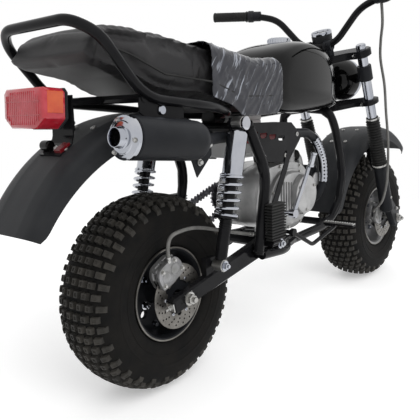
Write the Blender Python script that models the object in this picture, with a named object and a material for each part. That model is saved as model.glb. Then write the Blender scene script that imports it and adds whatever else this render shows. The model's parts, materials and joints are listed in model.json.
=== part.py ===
"""Light motorcycle with fat off-road tyres, leaning on its side stand.

The machine is modelled upright, with +X forward, +Y to the rider's left and +Z up, and with the
ground under the rear axle as its origin. At the end the whole of it leans on the side stand and is
moved so that the middle of its bounding box's floor is the origin.
"""

import math

import bmesh
import bpy
from mathutils import Matrix, Vector

# Driving dimensions, in metres
WHEELBASE = 1.18
FRAME_HEIGHT = 0.70
LEAN = math.radians(5.0)
GAP = 0.0003
RUNNING_GAP = 0.0004
OVERRUN = 0.004

# Wheels
TYRE_DIAMETER = 0.482
TYRE_WIDTH = 0.165
RIM_DIAMETER = 0.230
RIM_WIDTH = 0.140
RIM_WALL = 0.004
AXLE_DIAMETER = 0.015
HUB_DIAMETER = 0.062
HUB_WIDTH = 0.120
DISC_DIAMETER = 0.160
DISC_THICKNESS = 0.004
DISC_PLANE = 0.094
CHAIN_PLANE = 0.0935
CHAIN_WIDTH = 0.010
CHAIN_CLEARANCE = 0.001
CHAIN_HEIGHT = 0.012
REAR_SPROCKET_DIAMETER = 0.150
FRONT_SPROCKET_DIAMETER = 0.062
SPROCKET_THICKNESS = 0.006
WHEEL_SEGMENTS = 18
LUG_ROWS = 24
LUG_DEPTH = 0.010

# Fork and steering
RAKE = math.radians(22.5)
FORK_SPREAD = 0.266
FORK_OFFSET = 0.038
STANCHION_DIAMETER = 0.033
GAITER_DIAMETER = 0.055
SLIDER_DIAMETER = 0.046
HEAD_TUBE_DIAMETER = 0.052
HEAD_TUBE_LENGTH = 0.140
CLAMP_THICKNESS = 0.024
STEM_DIAMETER = 0.030
HANDLEBAR_DIAMETER = 0.022
HANDLEBAR_WIDTH = 0.740
GRIP_DIAMETER = 0.033
GRIP_LENGTH = 0.120

# Frame
CRADLE_SPREAD = 0.200
CRADLE_DIAMETER = 0.026
UPRIGHT_SPREAD = 0.296
UPRIGHT_DIAMETER = 0.028
RAIL_DIAMETER = 0.022
SPINE_DIAMETER = 0.046
PLATE_THICKNESS = 0.003

# Swinging arm and shock absorbers
ARM_SPREAD = 0.234
ARM_DEPTH = 0.052
ARM_THICKNESS = 0.025
PIVOT_DIAMETER = 0.042
SHOCK_SPREAD = 0.304
SHOCK_COVER_DIAMETER = 0.045
SHOCK_ROD_DIAMETER = 0.030
SHOCK_SPRING_DIAMETER = 0.050
SHOCK_WIRE_DIAMETER = 0.008
SHOCK_EYE_DIAMETER = 0.030

# Engine and exhaust
CRANKCASE_WIDTH = 0.150
COVER_DIAMETER = 0.126
ENGINE_WIDTH = 0.250
CYLINDER_DIAMETER = 0.092
CYLINDER_LENGTH = 0.140
PIPE_DIAMETER = 0.028
MUFFLER_DIAMETER = 0.088
MUFFLER_PLANE = 0.170

# Bodywork
SEAT_WIDTH = 0.280
TANK_WIDTH = 0.240
MUDGUARD_WIDTH = 0.176
MUDGUARD_THICKNESS = 0.004
FRONT_MUDGUARD_RADIUS = 0.358
REAR_MUDGUARD_RADIUS = 0.400
LAMP_WIDTH = 0.140
LAMP_HEIGHT = 0.080
HEADLAMP_DIAMETER = 0.150

# Side stand
STAND_DIAMETER = 0.022
STAND_FOOT_DIAMETER = 0.050
STAND_FOOT_THICKNESS = 0.008
STAND_SPREAD = 0.290

TYRE_RADIUS = TYRE_DIAMETER / 2
AXLE_RADIUS = AXLE_DIAMETER / 2

REAR_AXLE = Vector((0, 0, TYRE_RADIUS))
FRONT_AXLE = Vector((WHEELBASE, 0, TYRE_RADIUS))
FORK_DIRECTION = Vector((-math.sin(RAKE), 0, math.cos(RAKE)))

# Colour, roughness and metallic value of each finish
FINISHES = {
    "frame_paint": ((0.012, 0.012, 0.014), 0.30, 0.0),
    "black_plastic": ((0.028, 0.029, 0.032), 0.55, 0.0),
    "gloss_black": ((0.006, 0.006, 0.007), 0.10, 0.0),
    "tyre_rubber": ((0.030, 0.028, 0.026), 0.85, 0.0),
    "black_rubber": ((0.015, 0.015, 0.016), 0.70, 0.0),
    "chrome": ((0.78, 0.79, 0.80), 0.10, 1.0),
    "cast_aluminium": ((0.55, 0.55, 0.54), 0.42, 0.9),
    "zinc_steel": ((0.60, 0.60, 0.58), 0.30, 1.0),
    "spring_steel": ((0.40, 0.41, 0.43), 0.30, 0.9),
    "seat_vinyl": ((0.040, 0.040, 0.044), 0.55, 0.0),
    "red_lens": ((0.60, 0.02, 0.03), 0.12, 0.0),
    "red_plastic": ((0.55, 0.02, 0.03), 0.40, 0.0),
    "grey_hose": ((0.30, 0.30, 0.30), 0.50, 0.0),
    "black_muffler": ((0.020, 0.021, 0.023), 0.40, 0.2),
}


def clear_scene():
    """Remove every object and mesh that the new scene holds."""
    for thing in list(bpy.data.objects):
        bpy.data.objects.remove(thing, do_unlink=True)
    for mesh in list(bpy.data.meshes):
        bpy.data.meshes.remove(mesh)


def finish(slot):
    """The named Principled material, made once."""
    material = bpy.data.materials.get(slot)
    if material:
        return material
    colour, roughness, metallic = FINISHES[slot]
    material = bpy.data.materials.new(slot)
    material.use_nodes = True
    shader = material.node_tree.nodes["Principled BSDF"]
    shader.inputs["Base Color"].default_value = (*colour, 1)
    shader.inputs["Roughness"].default_value = roughness
    shader.inputs["Metallic"].default_value = metallic
    return material


def solid(shape, name="solid"):
    """An object from a bmesh, with its faces pointing out."""
    bmesh.ops.recalc_face_normals(shape, faces=shape.faces)
    mesh = bpy.data.meshes.new(name)
    shape.to_mesh(mesh)
    shape.free()
    made = bpy.data.objects.new(name, mesh)
    bpy.context.scene.collection.objects.link(made)
    return made


def named(made, name, slot):
    """Give a finished solid its name, its material and smooth shading."""
    made.name = name
    made.data.name = name
    made.data.materials.clear()
    made.data.materials.append(finish(slot))
    made.data.shade_smooth()
    made.data.set_sharp_from_angle(angle=math.radians(35))
    return made


MERGE_DISTANCE = 0.00002


def tidied(mesh):
    """Merge the near-double corners that a Boolean leaves and close the slits between them."""
    shape = bmesh.new()
    shape.from_mesh(mesh)
    bmesh.ops.remove_doubles(shape, verts=shape.verts, dist=MERGE_DISTANCE)
    bmesh.ops.dissolve_degenerate(shape, edges=shape.edges, dist=MERGE_DISTANCE)
    slits = [edge for edge in shape.edges if len(edge.link_faces) < 2]
    if slits:
        bmesh.ops.holes_fill(shape, edges=slits, sides=0)
    shape.to_mesh(mesh)
    shape.free()


def applied(made, extra=()):
    """Bake an object's modifiers into its mesh and drop the helper objects."""
    bpy.context.view_layer.update()
    evaluated = made.evaluated_get(bpy.context.evaluated_depsgraph_get())
    mesh = bpy.data.meshes.new_from_object(evaluated)
    made.modifiers.clear()
    made.data = mesh
    tidied(mesh)
    for other in extra:
        bpy.data.objects.remove(other, do_unlink=True)
    return made


def combined(base, others, operation):
    """Boolean the other solids with the base and remove them."""
    for other in others:
        modifier = base.modifiers.new(operation, "BOOLEAN")
        modifier.operation = operation
        modifier.solver = "EXACT"
        modifier.object = other
    return applied(base, others)


def fused(solids):
    """One closed body from solids that run into each other."""
    return combined(solids[0], solids[1:], "UNION")


def cut(base, cutters):
    """The base without the space that the cutters fill."""
    return combined(base, cutters, "DIFFERENCE")


def grown(made, distance):
    """A copy of a solid whose faces lie the given distance further out."""
    shape = bmesh.new()
    shape.from_mesh(made.data)
    shape.normal_update()
    shifts = [vertex.normal * distance * vertex.calc_shell_factor() for vertex in shape.verts]
    for vertex, shift in zip(shape.verts, shifts):
        vertex.co += shift
    return solid(shape, "cutter")


def seated(base, neighbours, gap=GAP):
    """Cut the base back so that it lies a small gap from its neighbours."""
    return cut(base, [grown(neighbour, gap) for neighbour in neighbours])


SIDE_NAMES = {-1: "right", 1: "left"}


def sideways(distance):
    return Vector((0, distance, 0))


def aimed(origin, direction, side=Vector((0, 1, 0))):
    """Matrix that takes local Z to the direction and local Y near the side."""
    z_axis = Vector(direction).normalized()
    x_axis = Vector(side).cross(z_axis)
    if x_axis.length < 0.01:
        x_axis = Vector((1, 0, 0)).cross(z_axis)
    x_axis.normalize()
    y_axis = z_axis.cross(x_axis)
    turn = Matrix((x_axis, y_axis, z_axis)).transposed()
    return Matrix.Translation(Vector(origin)) @ turn.to_4x4()


def bridged(rings, closed=False, caps=True):
    """A closed skin through rings that have the same number of points."""
    shape = bmesh.new()
    loops = [[shape.verts.new(point) for point in ring] for ring in rings]
    pairs = list(zip(loops, loops[1:]))
    if closed:
        pairs.append((loops[-1], loops[0]))
    for near, far in pairs:
        for index in range(len(near)):
            after = (index + 1) % len(near)
            shape.faces.new((near[index], near[after], far[after], far[index]))
    if caps and not closed:
        shape.faces.new(list(reversed(loops[0])))
        shape.faces.new(loops[-1])
    return solid(shape)


def turned(profile, matrix, sides=16, hollow=False, phase_share=0.0):
    """Revolve (radius, along) points about the matrix's Z axis."""
    rings = []
    for step in range(sides):
        angle = 2 * math.pi * (step + phase_share) / sides
        spoke = Vector((math.cos(angle), math.sin(angle), 0))
        rings.append([matrix @ (spoke * radius + Vector((0, 0, along))) for radius, along in profile])
    if hollow:
        return bridged(rings, closed=True)
    loops = [[ring[place] for ring in rings] for place in range(len(profile))]
    return bridged(loops)


def rod(start, end, radius, sides=8):
    """A straight round bar between two points."""
    start = Vector(start)
    end = Vector(end)
    matrix = aimed(start, end - start)
    return turned([(radius, 0), (radius, (end - start).length)], matrix, sides)


def bore(start, end, radius, gap=GAP, sides=8):
    """A cutter that leaves at least the gap round a shaft of the given radius."""
    return rod(start, end, (radius + gap) / math.cos(math.pi / sides), sides)


def rounded(points, bend, steps=3):
    """The route with an arc-like bend at each inner point."""
    points = [Vector(point) for point in points]
    route = [points[0]]
    for before, corner, after in zip(points, points[1:], points[2:]):
        back = before - corner
        ahead = after - corner
        reach = min(bend, back.length * 0.45, ahead.length * 0.45)
        first = corner + back.normalized() * reach
        last = corner + ahead.normalized() * reach
        for step in range(steps + 1):
            share = step / steps
            route.append(first.lerp(corner, share).lerp(corner.lerp(last, share), share))
    route.append(points[-1])
    return route


def tube(points, radius, bend=0.04, sides=8, steps=3, section=None):
    """A bent round bar, or a bar of the given section, along the points."""
    route = rounded(points, bend, steps) if bend else [Vector(point) for point in points]
    directions = [(after - before).normalized() for before, after in zip(route, route[1:])]
    tangents = [directions[0]]
    tangents += [(one + two).normalized() for one, two in zip(directions, directions[1:])]
    tangents.append(directions[-1])
    side = Vector((0, 1, 0))
    if abs(tangents[0].dot(side)) > 0.9:
        side = Vector((0, 0, 1))
    if section is None:
        angles = [2 * math.pi * step / sides for step in range(sides)]
        section = [(radius * math.cos(angle), radius * math.sin(angle)) for angle in angles]
    rings = []
    for place, tangent in zip(route, tangents):
        side = (side - tangent * side.dot(tangent)).normalized()
        up = tangent.cross(side)
        rings.append([place + side * across + up * above for across, above in section])
    return bridged(rings)


def flat_bar(width, thickness):
    """Section of a flat bar, for a tube along a route."""
    half, rise = width / 2, thickness / 2
    return [(-half, -rise), (half, -rise), (half, rise), (-half, rise)]


def prism(outline, thickness, matrix):
    """Extrude a flat outline evenly to both sides of the matrix's XY plane."""
    half = thickness / 2
    rings = [[matrix @ Vector((across, above, depth)) for across, above in outline]
             for depth in (-half, half)]
    return bridged(rings)


def side_view(plane):
    """Matrix that lays a flat (x, z) outline in the machine's side view at y = plane."""
    return Matrix(((1, 0, 0, 0), (0, 0, -1, plane), (0, 1, 0, 0), (0, 0, 0, 1)))


def box(centre, size, matrix=None):
    """A rectangular block by its centre and size."""
    shape = bmesh.new()
    bmesh.ops.create_cube(shape, size=1)
    bmesh.ops.scale(shape, vec=size, verts=shape.verts)
    bmesh.ops.translate(shape, vec=centre, verts=shape.verts)
    if matrix:
        bmesh.ops.transform(shape, matrix=matrix, verts=shape.verts)
    return solid(shape)


def eased(made, width, segments=1, angle=math.radians(40)):
    """Bevel the sharp edges of a solid."""
    modifier = made.modifiers.new("ease", "BEVEL")
    modifier.width = width
    modifier.segments = segments
    modifier.limit_method = "ANGLE"
    modifier.angle_limit = angle
    return applied(made)


def placed(shares, plane=0.0):
    """Points of the side view, given as shares of the wheelbase and the frame's height."""
    return [Vector((along * WHEELBASE, plane, up * FRAME_HEIGHT)) for along, up in shares]


def flat(shares):
    """Side view outline from shares of the wheelbase and the frame's height."""
    return [(along * WHEELBASE, up * FRAME_HEIGHT) for along, up in shares]


# Places that several pieces share
HEAD_X_SHARE = 0.772
HEAD_Z_SHARE = 0.986
PIVOT_SHARES = (0.288, 0.443)
HEAD_BASE = Vector((HEAD_X_SHARE * WHEELBASE, 0, HEAD_Z_SHARE * FRAME_HEIGHT))
FORK_FORWARD = Vector((math.cos(RAKE), 0, math.sin(RAKE)))
SWING_PIVOT = Vector((PIVOT_SHARES[0] * WHEELBASE, 0, PIVOT_SHARES[1] * FRAME_HEIGHT))
LEG_TOP = 0.180
GAITER_TOP = -0.077
GAITER_TO_AXLE = 0.250
SLIDER_TO_AXLE = 0.063
AXLE_ALONG = FORK_DIRECTION.dot(FRONT_AXLE - HEAD_BASE)
GAITER_BOTTOM = AXLE_ALONG + GAITER_TO_AXLE
LOWER_CLAMP = -0.018


def leg_point(along, side):
    """Point on a fork leg's axis, measured along the head's axis from its lower end."""
    middle = HEAD_BASE + FORK_FORWARD * FORK_OFFSET + FORK_DIRECTION * along
    return middle + sideways(side * FORK_SPREAD / 2)


# Tyre profile as shares of the radius and the half width: its side, then the tread's outer edges
TYRE_SIDE_SHARES = ((0.482, 0.76), (0.60, 0.97), (0.76, 1.0))
TREAD_EDGE_SHARES = ((0.895, 0.90), (0.968, 0.64))
CROWN_SHARE = 0.36
CROWN_FLAT_SHARE = 0.12
LUG_LENGTH_SHARE = 0.60
LUG_TAPER_SHARE = 0.86
LUG_HALF_ANGLE = math.pi / LUG_ROWS * LUG_LENGTH_SHARE


def crown_points():
    """Half of the lugs' middle tips: their outer facet lies flat on the floor when the machine leans."""
    half = TYRE_WIDTH / 2
    outer = TYRE_RADIUS - (CROWN_SHARE - CROWN_FLAT_SHARE) * half * math.tan(LEAN)
    return [(outer, CROWN_SHARE * half), (TYRE_RADIUS, CROWN_FLAT_SHARE * half)]


def tip_points():
    """Lug tips from one shoulder to the other, as (radius, sideways) at the edges of their columns."""
    half = [(radius * TYRE_RADIUS, across * TYRE_WIDTH / 2) for radius, across in TREAD_EDGE_SHARES]
    half += crown_points()
    return half + [(radius, -across) for radius, across in reversed(half)]


def tyre_profile():
    """Closed profile (radius, sideways) of the tyre without its lugs, over the rim that it fills."""
    side = [(radius * TYRE_RADIUS, across * TYRE_WIDTH / 2) for radius, across in TYRE_SIDE_SHARES]
    tread = [(radius - LUG_DEPTH, across) for radius, across in tip_points()]
    profile = side + tread + [(radius, -across) for radius, across in reversed(side)]
    flange = (RIM_DIAMETER / 2 + GAP) / math.cos(LUG_HALF_ANGLE)
    barrel = (RIM_DIAMETER / 2 - RIM_WALL * 2 + GAP) / math.cos(LUG_HALF_ANGLE)
    bead = RIM_WIDTH / 2 - RIM_WALL - GAP
    return profile + [(flange, -bead), (barrel, -bead), (barrel, bead), (flange, bead)]


def wheel_axes(axle):
    """Matrix whose Z axis is the axle and whose X axis points at the ground."""
    matrix = Matrix(((0, 1, 0, 0), (0, 0, 1, 0), (1, 0, 0, 0), (0, 0, 0, 1)))
    return Matrix.Translation(axle) @ matrix


def wheel_point(matrix, radius, across, angle):
    return matrix @ Vector((radius * math.cos(angle), radius * math.sin(angle), across))


def add_lug(shape, foot, matrix, ends, angle):
    """Raise a tapered lug from the four corners of its foot; ends are its tips' (radius, sideways)."""
    top = []
    for turn, first in ((-1, True), (-1, False), (1, False), (1, True)):
        share = (1 - LUG_TAPER_SHARE) / 2 if first else (1 + LUG_TAPER_SHARE) / 2
        radius, across = (low + (high - low) * share for low, high in zip(*ends))
        turned_by = angle + turn * LUG_HALF_ANGLE * LUG_TAPER_SHARE
        top.append(shape.verts.new(wheel_point(matrix, radius, across, turned_by)))
    for index in range(len(top)):
        after = (index + 1) % len(top)
        shape.faces.new((foot[index], foot[after], top[after], top[index]))
    shape.faces.new(top)


def make_tyre(name, axle):
    """Tyre with rows of lugs whose columns alternate from row to row."""
    matrix = wheel_axes(axle)
    profile = tyre_profile()
    tips = tip_points()
    shape = bmesh.new()
    rings = []
    for row in range(LUG_ROWS):
        angle = 2 * math.pi * row / LUG_ROWS
        for end in (-1, 1):
            rings.append([shape.verts.new(wheel_point(matrix, radius, across, angle + end * LUG_HALF_ANGLE))
                          for radius, across in profile])
    for index, near in enumerate(rings):
        far = rings[(index + 1) % len(rings)]
        row, in_gap = divmod(index, 2)
        for place in range(len(profile)):
            after = (place + 1) % len(profile)
            foot = (near[place], near[after], far[after], far[place])
            column = place - len(TYRE_SIDE_SHARES)
            if not in_gap and 0 <= column < len(tips) - 1 and column % 2 == row % 2:
                add_lug(shape, foot, matrix, (tips[column], tips[column + 1]), 2 * math.pi * row / LUG_ROWS)
            else:
                shape.faces.new(foot)
    return named(solid(shape), name, "tyre_rubber")


def rim_profile():
    """Rim barrel with both flanges, dished centre and hub, as (radius, sideways) points."""
    flange = RIM_DIAMETER / 2
    barrel = flange - RIM_WALL * 2
    edge = RIM_WIDTH / 2
    hub = HUB_DIAMETER / 2
    end = HUB_WIDTH / 2
    channel = AXLE_RADIUS + RUNNING_GAP
    outside = [(channel, end), (hub, end), (hub, RIM_WALL), (barrel - RIM_WALL, RIM_WALL)]
    outside += [(barrel - RIM_WALL, edge), (flange, edge), (flange, edge - RIM_WALL)]
    outside.append((barrel, edge - RIM_WALL))
    inside = [(radius, -across) for radius, across in reversed(outside)]
    return outside + inside


def make_rim(name, axle):
    rim = turned(rim_profile(), wheel_axes(axle), WHEEL_SEGMENTS, hollow=True, phase_share=0.25)
    return named(rim, name, "zinc_steel")


def ring_plate(axle, plane, outer, inner, thickness, sides=WHEEL_SEGMENTS):
    """A flat ring on an axle at the given sideways plane."""
    near = plane - thickness / 2
    far = plane + thickness / 2
    profile = [(outer, near), (outer, far), (inner, far), (inner, near)]
    return turned(profile, wheel_axes(axle), sides, hollow=True)


CARRIER_DIAMETER = 0.090


def carried_plate(axle, side, plane, outer, thickness):
    """A disc on a boss that seats on the hub's end, turned as one piece."""
    seat = HUB_WIDTH / 2 + GAP
    channel = AXLE_RADIUS * 2
    carrier = CARRIER_DIAMETER / 2
    low = plane - thickness / 2
    high = plane + thickness / 2
    profile = [(channel, seat), (carrier, seat), (carrier, low), (outer, low), (outer, high), (channel, high)]
    profile = [(radius, side * across) for radius, across in profile]
    return turned(profile, wheel_axes(axle), WHEEL_SEGMENTS, hollow=True)


def make_brake_disc(name, axle, side):
    disc = carried_plate(axle, side, DISC_PLANE, DISC_DIAMETER / 2, DISC_THICKNESS)
    return named(disc, name, "zinc_steel")


def make_sprocket():
    disc = carried_plate(REAR_AXLE, 1, CHAIN_PLANE, REAR_SPROCKET_DIAMETER / 2, SPROCKET_THICKNESS)
    return named(disc, "rear_sprocket", "zinc_steel")


NUT_DIAMETER = 0.027
NUT_LENGTH = 0.014


def axle_bar(axle, arm_outer):
    """A through axle with a nut outside each arm."""
    matrix = wheel_axes(axle)
    start = arm_outer + GAP
    half = start + NUT_LENGTH + AXLE_DIAMETER * 0.5
    nut = NUT_DIAMETER / 2
    profile = [(AXLE_RADIUS, -half), (AXLE_RADIUS, -start - NUT_LENGTH), (nut, -start - NUT_LENGTH),
               (nut, -start), (AXLE_RADIUS, -start), (AXLE_RADIUS, start), (nut, start),
               (nut, start + NUT_LENGTH), (AXLE_RADIUS, start + NUT_LENGTH), (AXLE_RADIUS, half)]
    return turned(profile, matrix, 8)


# Fork
GAITER_RIBS = 5
GAITER_RIB_DEPTH = 0.005
SLIDER_END = AXLE_ALONG + SLIDER_TO_AXLE
LUG_WIDTH = 0.026
LUG_HEIGHT = 0.052
LUG_OUTER = FORK_SPREAD / 2 + LUG_WIDTH * 0.75


def gaiter_profile():
    length = GAITER_TOP - GAITER_BOTTOM
    radius = GAITER_DIAMETER / 2
    profile = [(radius - GAITER_RIB_DEPTH, 0)]
    for rib in range(GAITER_RIBS):
        profile.append((radius, length * (rib + 0.5) / GAITER_RIBS))
        profile.append((radius - GAITER_RIB_DEPTH, length * (rib + 1) / GAITER_RIBS))
    return profile


def gaiter(side):
    """Ribbed rubber gaiter round the fork leg."""
    matrix = aimed(leg_point(GAITER_BOTTOM, side) - FORK_DIRECTION * OVERRUN, FORK_DIRECTION)
    return turned(gaiter_profile(), matrix, 10)


SLIDER_RING = 0.052
SLIDER_FOOT = 0.050


def make_fork_leg(side):
    """Gaiter and lower fork leg, flared down to the lug that holds the axle."""
    matrix = aimed(leg_point(SLIDER_END, side), FORK_DIRECTION)
    length = GAITER_BOTTOM - SLIDER_END
    ring = length * 0.94
    profile = [(SLIDER_FOOT / 2, 0), (SLIDER_DIAMETER / 2, ring), (SLIDER_RING / 2, ring),
               (SLIDER_RING / 2, length)]
    leg = turned(profile, matrix, 10)
    plane = side * (LUG_OUTER - LUG_WIDTH / 2)
    low = FRONT_AXLE + Vector((LUG_HEIGHT * 0.2, 0, -LUG_HEIGHT * 0.5))
    high = leg_point(SLIDER_END, side) + FORK_DIRECTION * SLIDER_FOOT
    outline = [(low.x - LUG_HEIGHT * 0.6, low.z), (low.x + LUG_HEIGHT * 0.2, low.z + LUG_HEIGHT * 0.1),
               (low.x + LUG_HEIGHT * 0.3, low.z + LUG_HEIGHT * 0.6), (high.x + SLIDER_FOOT * 0.3, high.z),
               (high.x - SLIDER_FOOT * 0.3, high.z - SLIDER_FOOT * 0.2)]
    lug = prism(outline, LUG_WIDTH, side_view(plane))
    reach = sideways(FORK_SPREAD)
    hole = bore(FRONT_AXLE - reach, FRONT_AXLE + reach, AXLE_RADIUS)
    made = cut(fused([leg, lug, gaiter(side)]), [hole])
    return named(made, "fork_leg_" + SIDE_NAMES[side], "black_plastic")


def clamp_plate(along, thickness):
    """Fork clamp across both legs, bowed forward round the stem."""
    half = FORK_SPREAD / 2
    arm = STANCHION_DIAMETER / 2 + CLAMP_THICKNESS / 3
    hub = HEAD_TUBE_DIAMETER / 2
    outline = [(hub * 1.3, -hub * 0.5), (FORK_OFFSET + arm * 0.5, -half * 0.6),
               (FORK_OFFSET + arm, -half - arm * 0.4), (FORK_OFFSET, -half - arm),
               (FORK_OFFSET - arm, -half - arm * 0.4), (FORK_OFFSET - arm * 1.2, -half * 0.7), (-hub, -hub)]
    outline += [(across, -above) for across, above in reversed(outline)]
    matrix = aimed(HEAD_BASE + FORK_DIRECTION * along, FORK_DIRECTION)
    return prism(outline, thickness, matrix)


def make_clamps(head_tube_end):
    """Lower and upper fork clamps with the stem and the bright upper legs that they hold."""
    lower = clamp_plate(LOWER_CLAMP, CLAMP_THICKNESS)
    upper_place = head_tube_end + CLAMP_THICKNESS / 2 + GAP * 10
    upper = clamp_plate(upper_place, CLAMP_THICKNESS)
    stem = rod(HEAD_BASE + FORK_DIRECTION * LOWER_CLAMP, HEAD_BASE + FORK_DIRECTION * upper_place,
               STEM_DIAMETER / 2, 12)
    low = GAITER_TOP - OVERRUN + GAP
    legs = [rod(leg_point(LEG_TOP, side), leg_point(low, side), STANCHION_DIAMETER / 2, 12)
            for side in (-1, 1)]
    return named(fused([lower, stem, upper] + legs), "fork_clamps", "chrome")


# Handlebar route as shares of half its width (y) and of its rise (x back, z up)
BAR_RISE = 0.130
BAR_SHARES = ((0.0, 0.0, 0.0), (0.0, 0.16, 0.0), (-0.10, 0.42, 0.80), (-0.25, 0.62, 0.95), (-0.75, 1.0, 1.0))
RISER_DIAMETER = 0.026
RISER_HEIGHT = 0.034
RISER_SPREAD = 0.076


def bar_base():
    """Middle of the handlebar, over the upper clamp."""
    top = HEAD_TUBE_LENGTH + CLAMP_THICKNESS + GAP * 10
    return HEAD_BASE + FORK_DIRECTION * (top + RISER_HEIGHT)


def bar_route(side):
    half = HANDLEBAR_WIDTH / 2
    return [bar_base() + Vector((back * BAR_RISE, side * across * half, up * BAR_RISE))
            for back, across, up in BAR_SHARES]


def bar_end_direction(side):
    route = bar_route(side)
    return (route[-1] - route[-2]).normalized()


def handlebar_tube():
    route = list(reversed(bar_route(-1)))[:-1] + bar_route(1)[1:]
    bar = tube(route, HANDLEBAR_DIAMETER / 2, HANDLEBAR_DIAMETER * 2, 8, 1)
    risers = []
    for side in (-1, 1):
        place = bar_base() + sideways(side * RISER_SPREAD / 2)
        risers.append(rod(place - FORK_DIRECTION * (RISER_HEIGHT - GAP), place, RISER_DIAMETER / 2, 8))
    return fused([bar] + risers)


GRIP_SIDES = 10


def make_grip(side):
    """Rubber grip over the bar's end, with a bore for the bar."""
    end = bar_route(side)[-1]
    direction = bar_end_direction(side)
    start = end - direction * GRIP_LENGTH
    cap = OVERRUN
    matrix = aimed(start, direction)
    outer = GRIP_DIAMETER / 2
    bore = (HANDLEBAR_DIAMETER / 2 + GAP) / math.cos(math.pi / GRIP_SIDES)
    length = GRIP_LENGTH
    profile = [(bore, 0), (outer * 1.15, 0), (outer * 1.15, cap), (outer, cap), (outer, length + cap),
               (bore * 0.3, length + cap), (bore * 0.3, length + GAP), (bore, length + GAP)]
    return named(turned(profile, matrix, GRIP_SIDES, hollow=True), "grip_" + SIDE_NAMES[side], "black_rubber")


LEVER_LENGTH = 0.165
LEVER_WIDTH = 0.014
LEVER_THICKNESS = 0.008
LEVER_BEND = 0.020
PERCH_LENGTH = 0.040
PERCH_DIAMETER = 0.034


def perch_middle(side):
    """Middle of the clamp that holds a hand lever on the bar."""
    return bar_route(side)[-1] - bar_end_direction(side) * (GRIP_LENGTH + PERCH_LENGTH * 0.7)


def make_handlebar(clamps):
    """Handlebar on its risers with the brake and clutch levers on their perches."""
    levers = []
    for side in (-1, 1):
        direction = bar_end_direction(side)
        inner = bar_route(side)[-1] - direction * (GRIP_LENGTH + PERCH_LENGTH * 1.2)
        perch = rod(inner, inner + direction * PERCH_LENGTH, PERCH_DIAMETER / 2, 8)
        ahead = direction.cross(Vector((0, 0, side))).normalized()
        start = inner + direction * PERCH_LENGTH * 0.5
        knee = start + ahead * PERCH_DIAMETER * 1.1 + direction * PERCH_LENGTH * 0.3
        tip = knee + direction * LEVER_LENGTH * 0.82 - ahead * PERCH_DIAMETER * 0.1
        blade = flat_bar(LEVER_WIDTH, LEVER_THICKNESS)
        lever = tube([start, knee, tip], 0, LEVER_BEND, steps=2, section=blade)
        levers += [perch, lever]
    return named(seated(fused([handlebar_tube()] + levers), [clamps]), "handlebar", "frame_paint")


HEADLAMP_DEPTH = 0.090
HEADLAMP_FORWARD = 0.105
HEADLAMP_ALONG = 0.085
EAR_THICKNESS = 0.004


def headlamp_centre():
    return HEAD_BASE + FORK_DIRECTION * HEADLAMP_ALONG + Vector((HEADLAMP_FORWARD, 0, 0))


def headlamp_bowl():
    radius = HEADLAMP_DIAMETER / 2
    matrix = aimed(headlamp_centre(), (1, 0, 0))
    depth = HEADLAMP_DEPTH
    profile = [(radius * 0.3, -depth * 0.62), (radius * 0.72, -depth * 0.45), (radius * 0.95, -depth * 0.1),
               (radius, depth * 0.2), (radius, depth * 0.38), (radius * 0.94, depth * 0.4),
               (radius * 0.6, depth * 0.5)]
    return turned(profile, matrix, 16)


def make_headlamp(clamps):
    """Round headlamp with the plates that hold it to the fork legs."""
    ears = []
    centre = headlamp_centre()
    for side in (-1, 1):
        leg = leg_point(HEADLAMP_ALONG, side)
        matrix = aimed(leg, FORK_DIRECTION)
        collar = turned([(STANCHION_DIAMETER * 0.72, -HEADLAMP_DIAMETER / 6),
                         (STANCHION_DIAMETER * 0.72, HEADLAMP_DIAMETER / 6)], matrix, 12)
        inner = side * (HEADLAMP_DIAMETER * 0.42)
        route = [leg + Vector((STANCHION_DIAMETER * 0.5, 0, 0)), Vector((centre.x, inner, centre.z))]
        arm = tube(route, 0, 0, section=flat_bar(EAR_THICKNESS, HEADLAMP_DIAMETER / 4))
        ears += [collar, arm]
    return named(seated(fused([headlamp_bowl()] + ears), [clamps]), "headlamp", "gloss_black")


METER_DIAMETER = 0.070
METER_DEPTH = 0.050
METER_UP = 0.050


def make_speedometer(clamps, bar):
    """Round instrument on a stalk over the upper clamp, tipped towards the rider."""
    top = HEAD_BASE + FORK_DIRECTION * (HEAD_TUBE_LENGTH + CLAMP_THICKNESS + GAP * 10)
    base = top + FORK_FORWARD * FORK_OFFSET * 0.9
    centre = base + FORK_DIRECTION * METER_UP
    radius = METER_DIAMETER / 2
    matrix = aimed(centre, (-0.35, 0, 1))
    half = METER_DEPTH / 2
    pod = turned([(radius * 0.55, -half), (radius * 0.95, -half * 0.4), (radius, half), (radius * 0.88, half),
                  (radius * 0.86, half * 0.8)], matrix, 16)
    stalk = rod(base + FORK_DIRECTION * GAP, centre, METER_DIAMETER * 0.12, 8)
    return named(seated(fused([pod, stalk]), [clamps, bar]), "speedometer", "black_plastic")


# Mudguards
GUARD_SECTION_SHARES = ((-1.0, -0.62), (-0.985, -0.26), (-0.87, -0.08), (-0.50, 0.0), (0.0, 0.012))
FRONT_GUARD_ANGLES = (math.radians(46), math.radians(168))
REAR_GUARD_ANGLES = (math.radians(60), math.radians(154))
FRONT_GUARD_SET_BACK = 0.018
FRONT_GUARD_DROP = 0.006
REAR_GUARD_SET_BACK = 0.020
REAR_GUARD_TOP_SHARE = 0.9644


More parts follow.
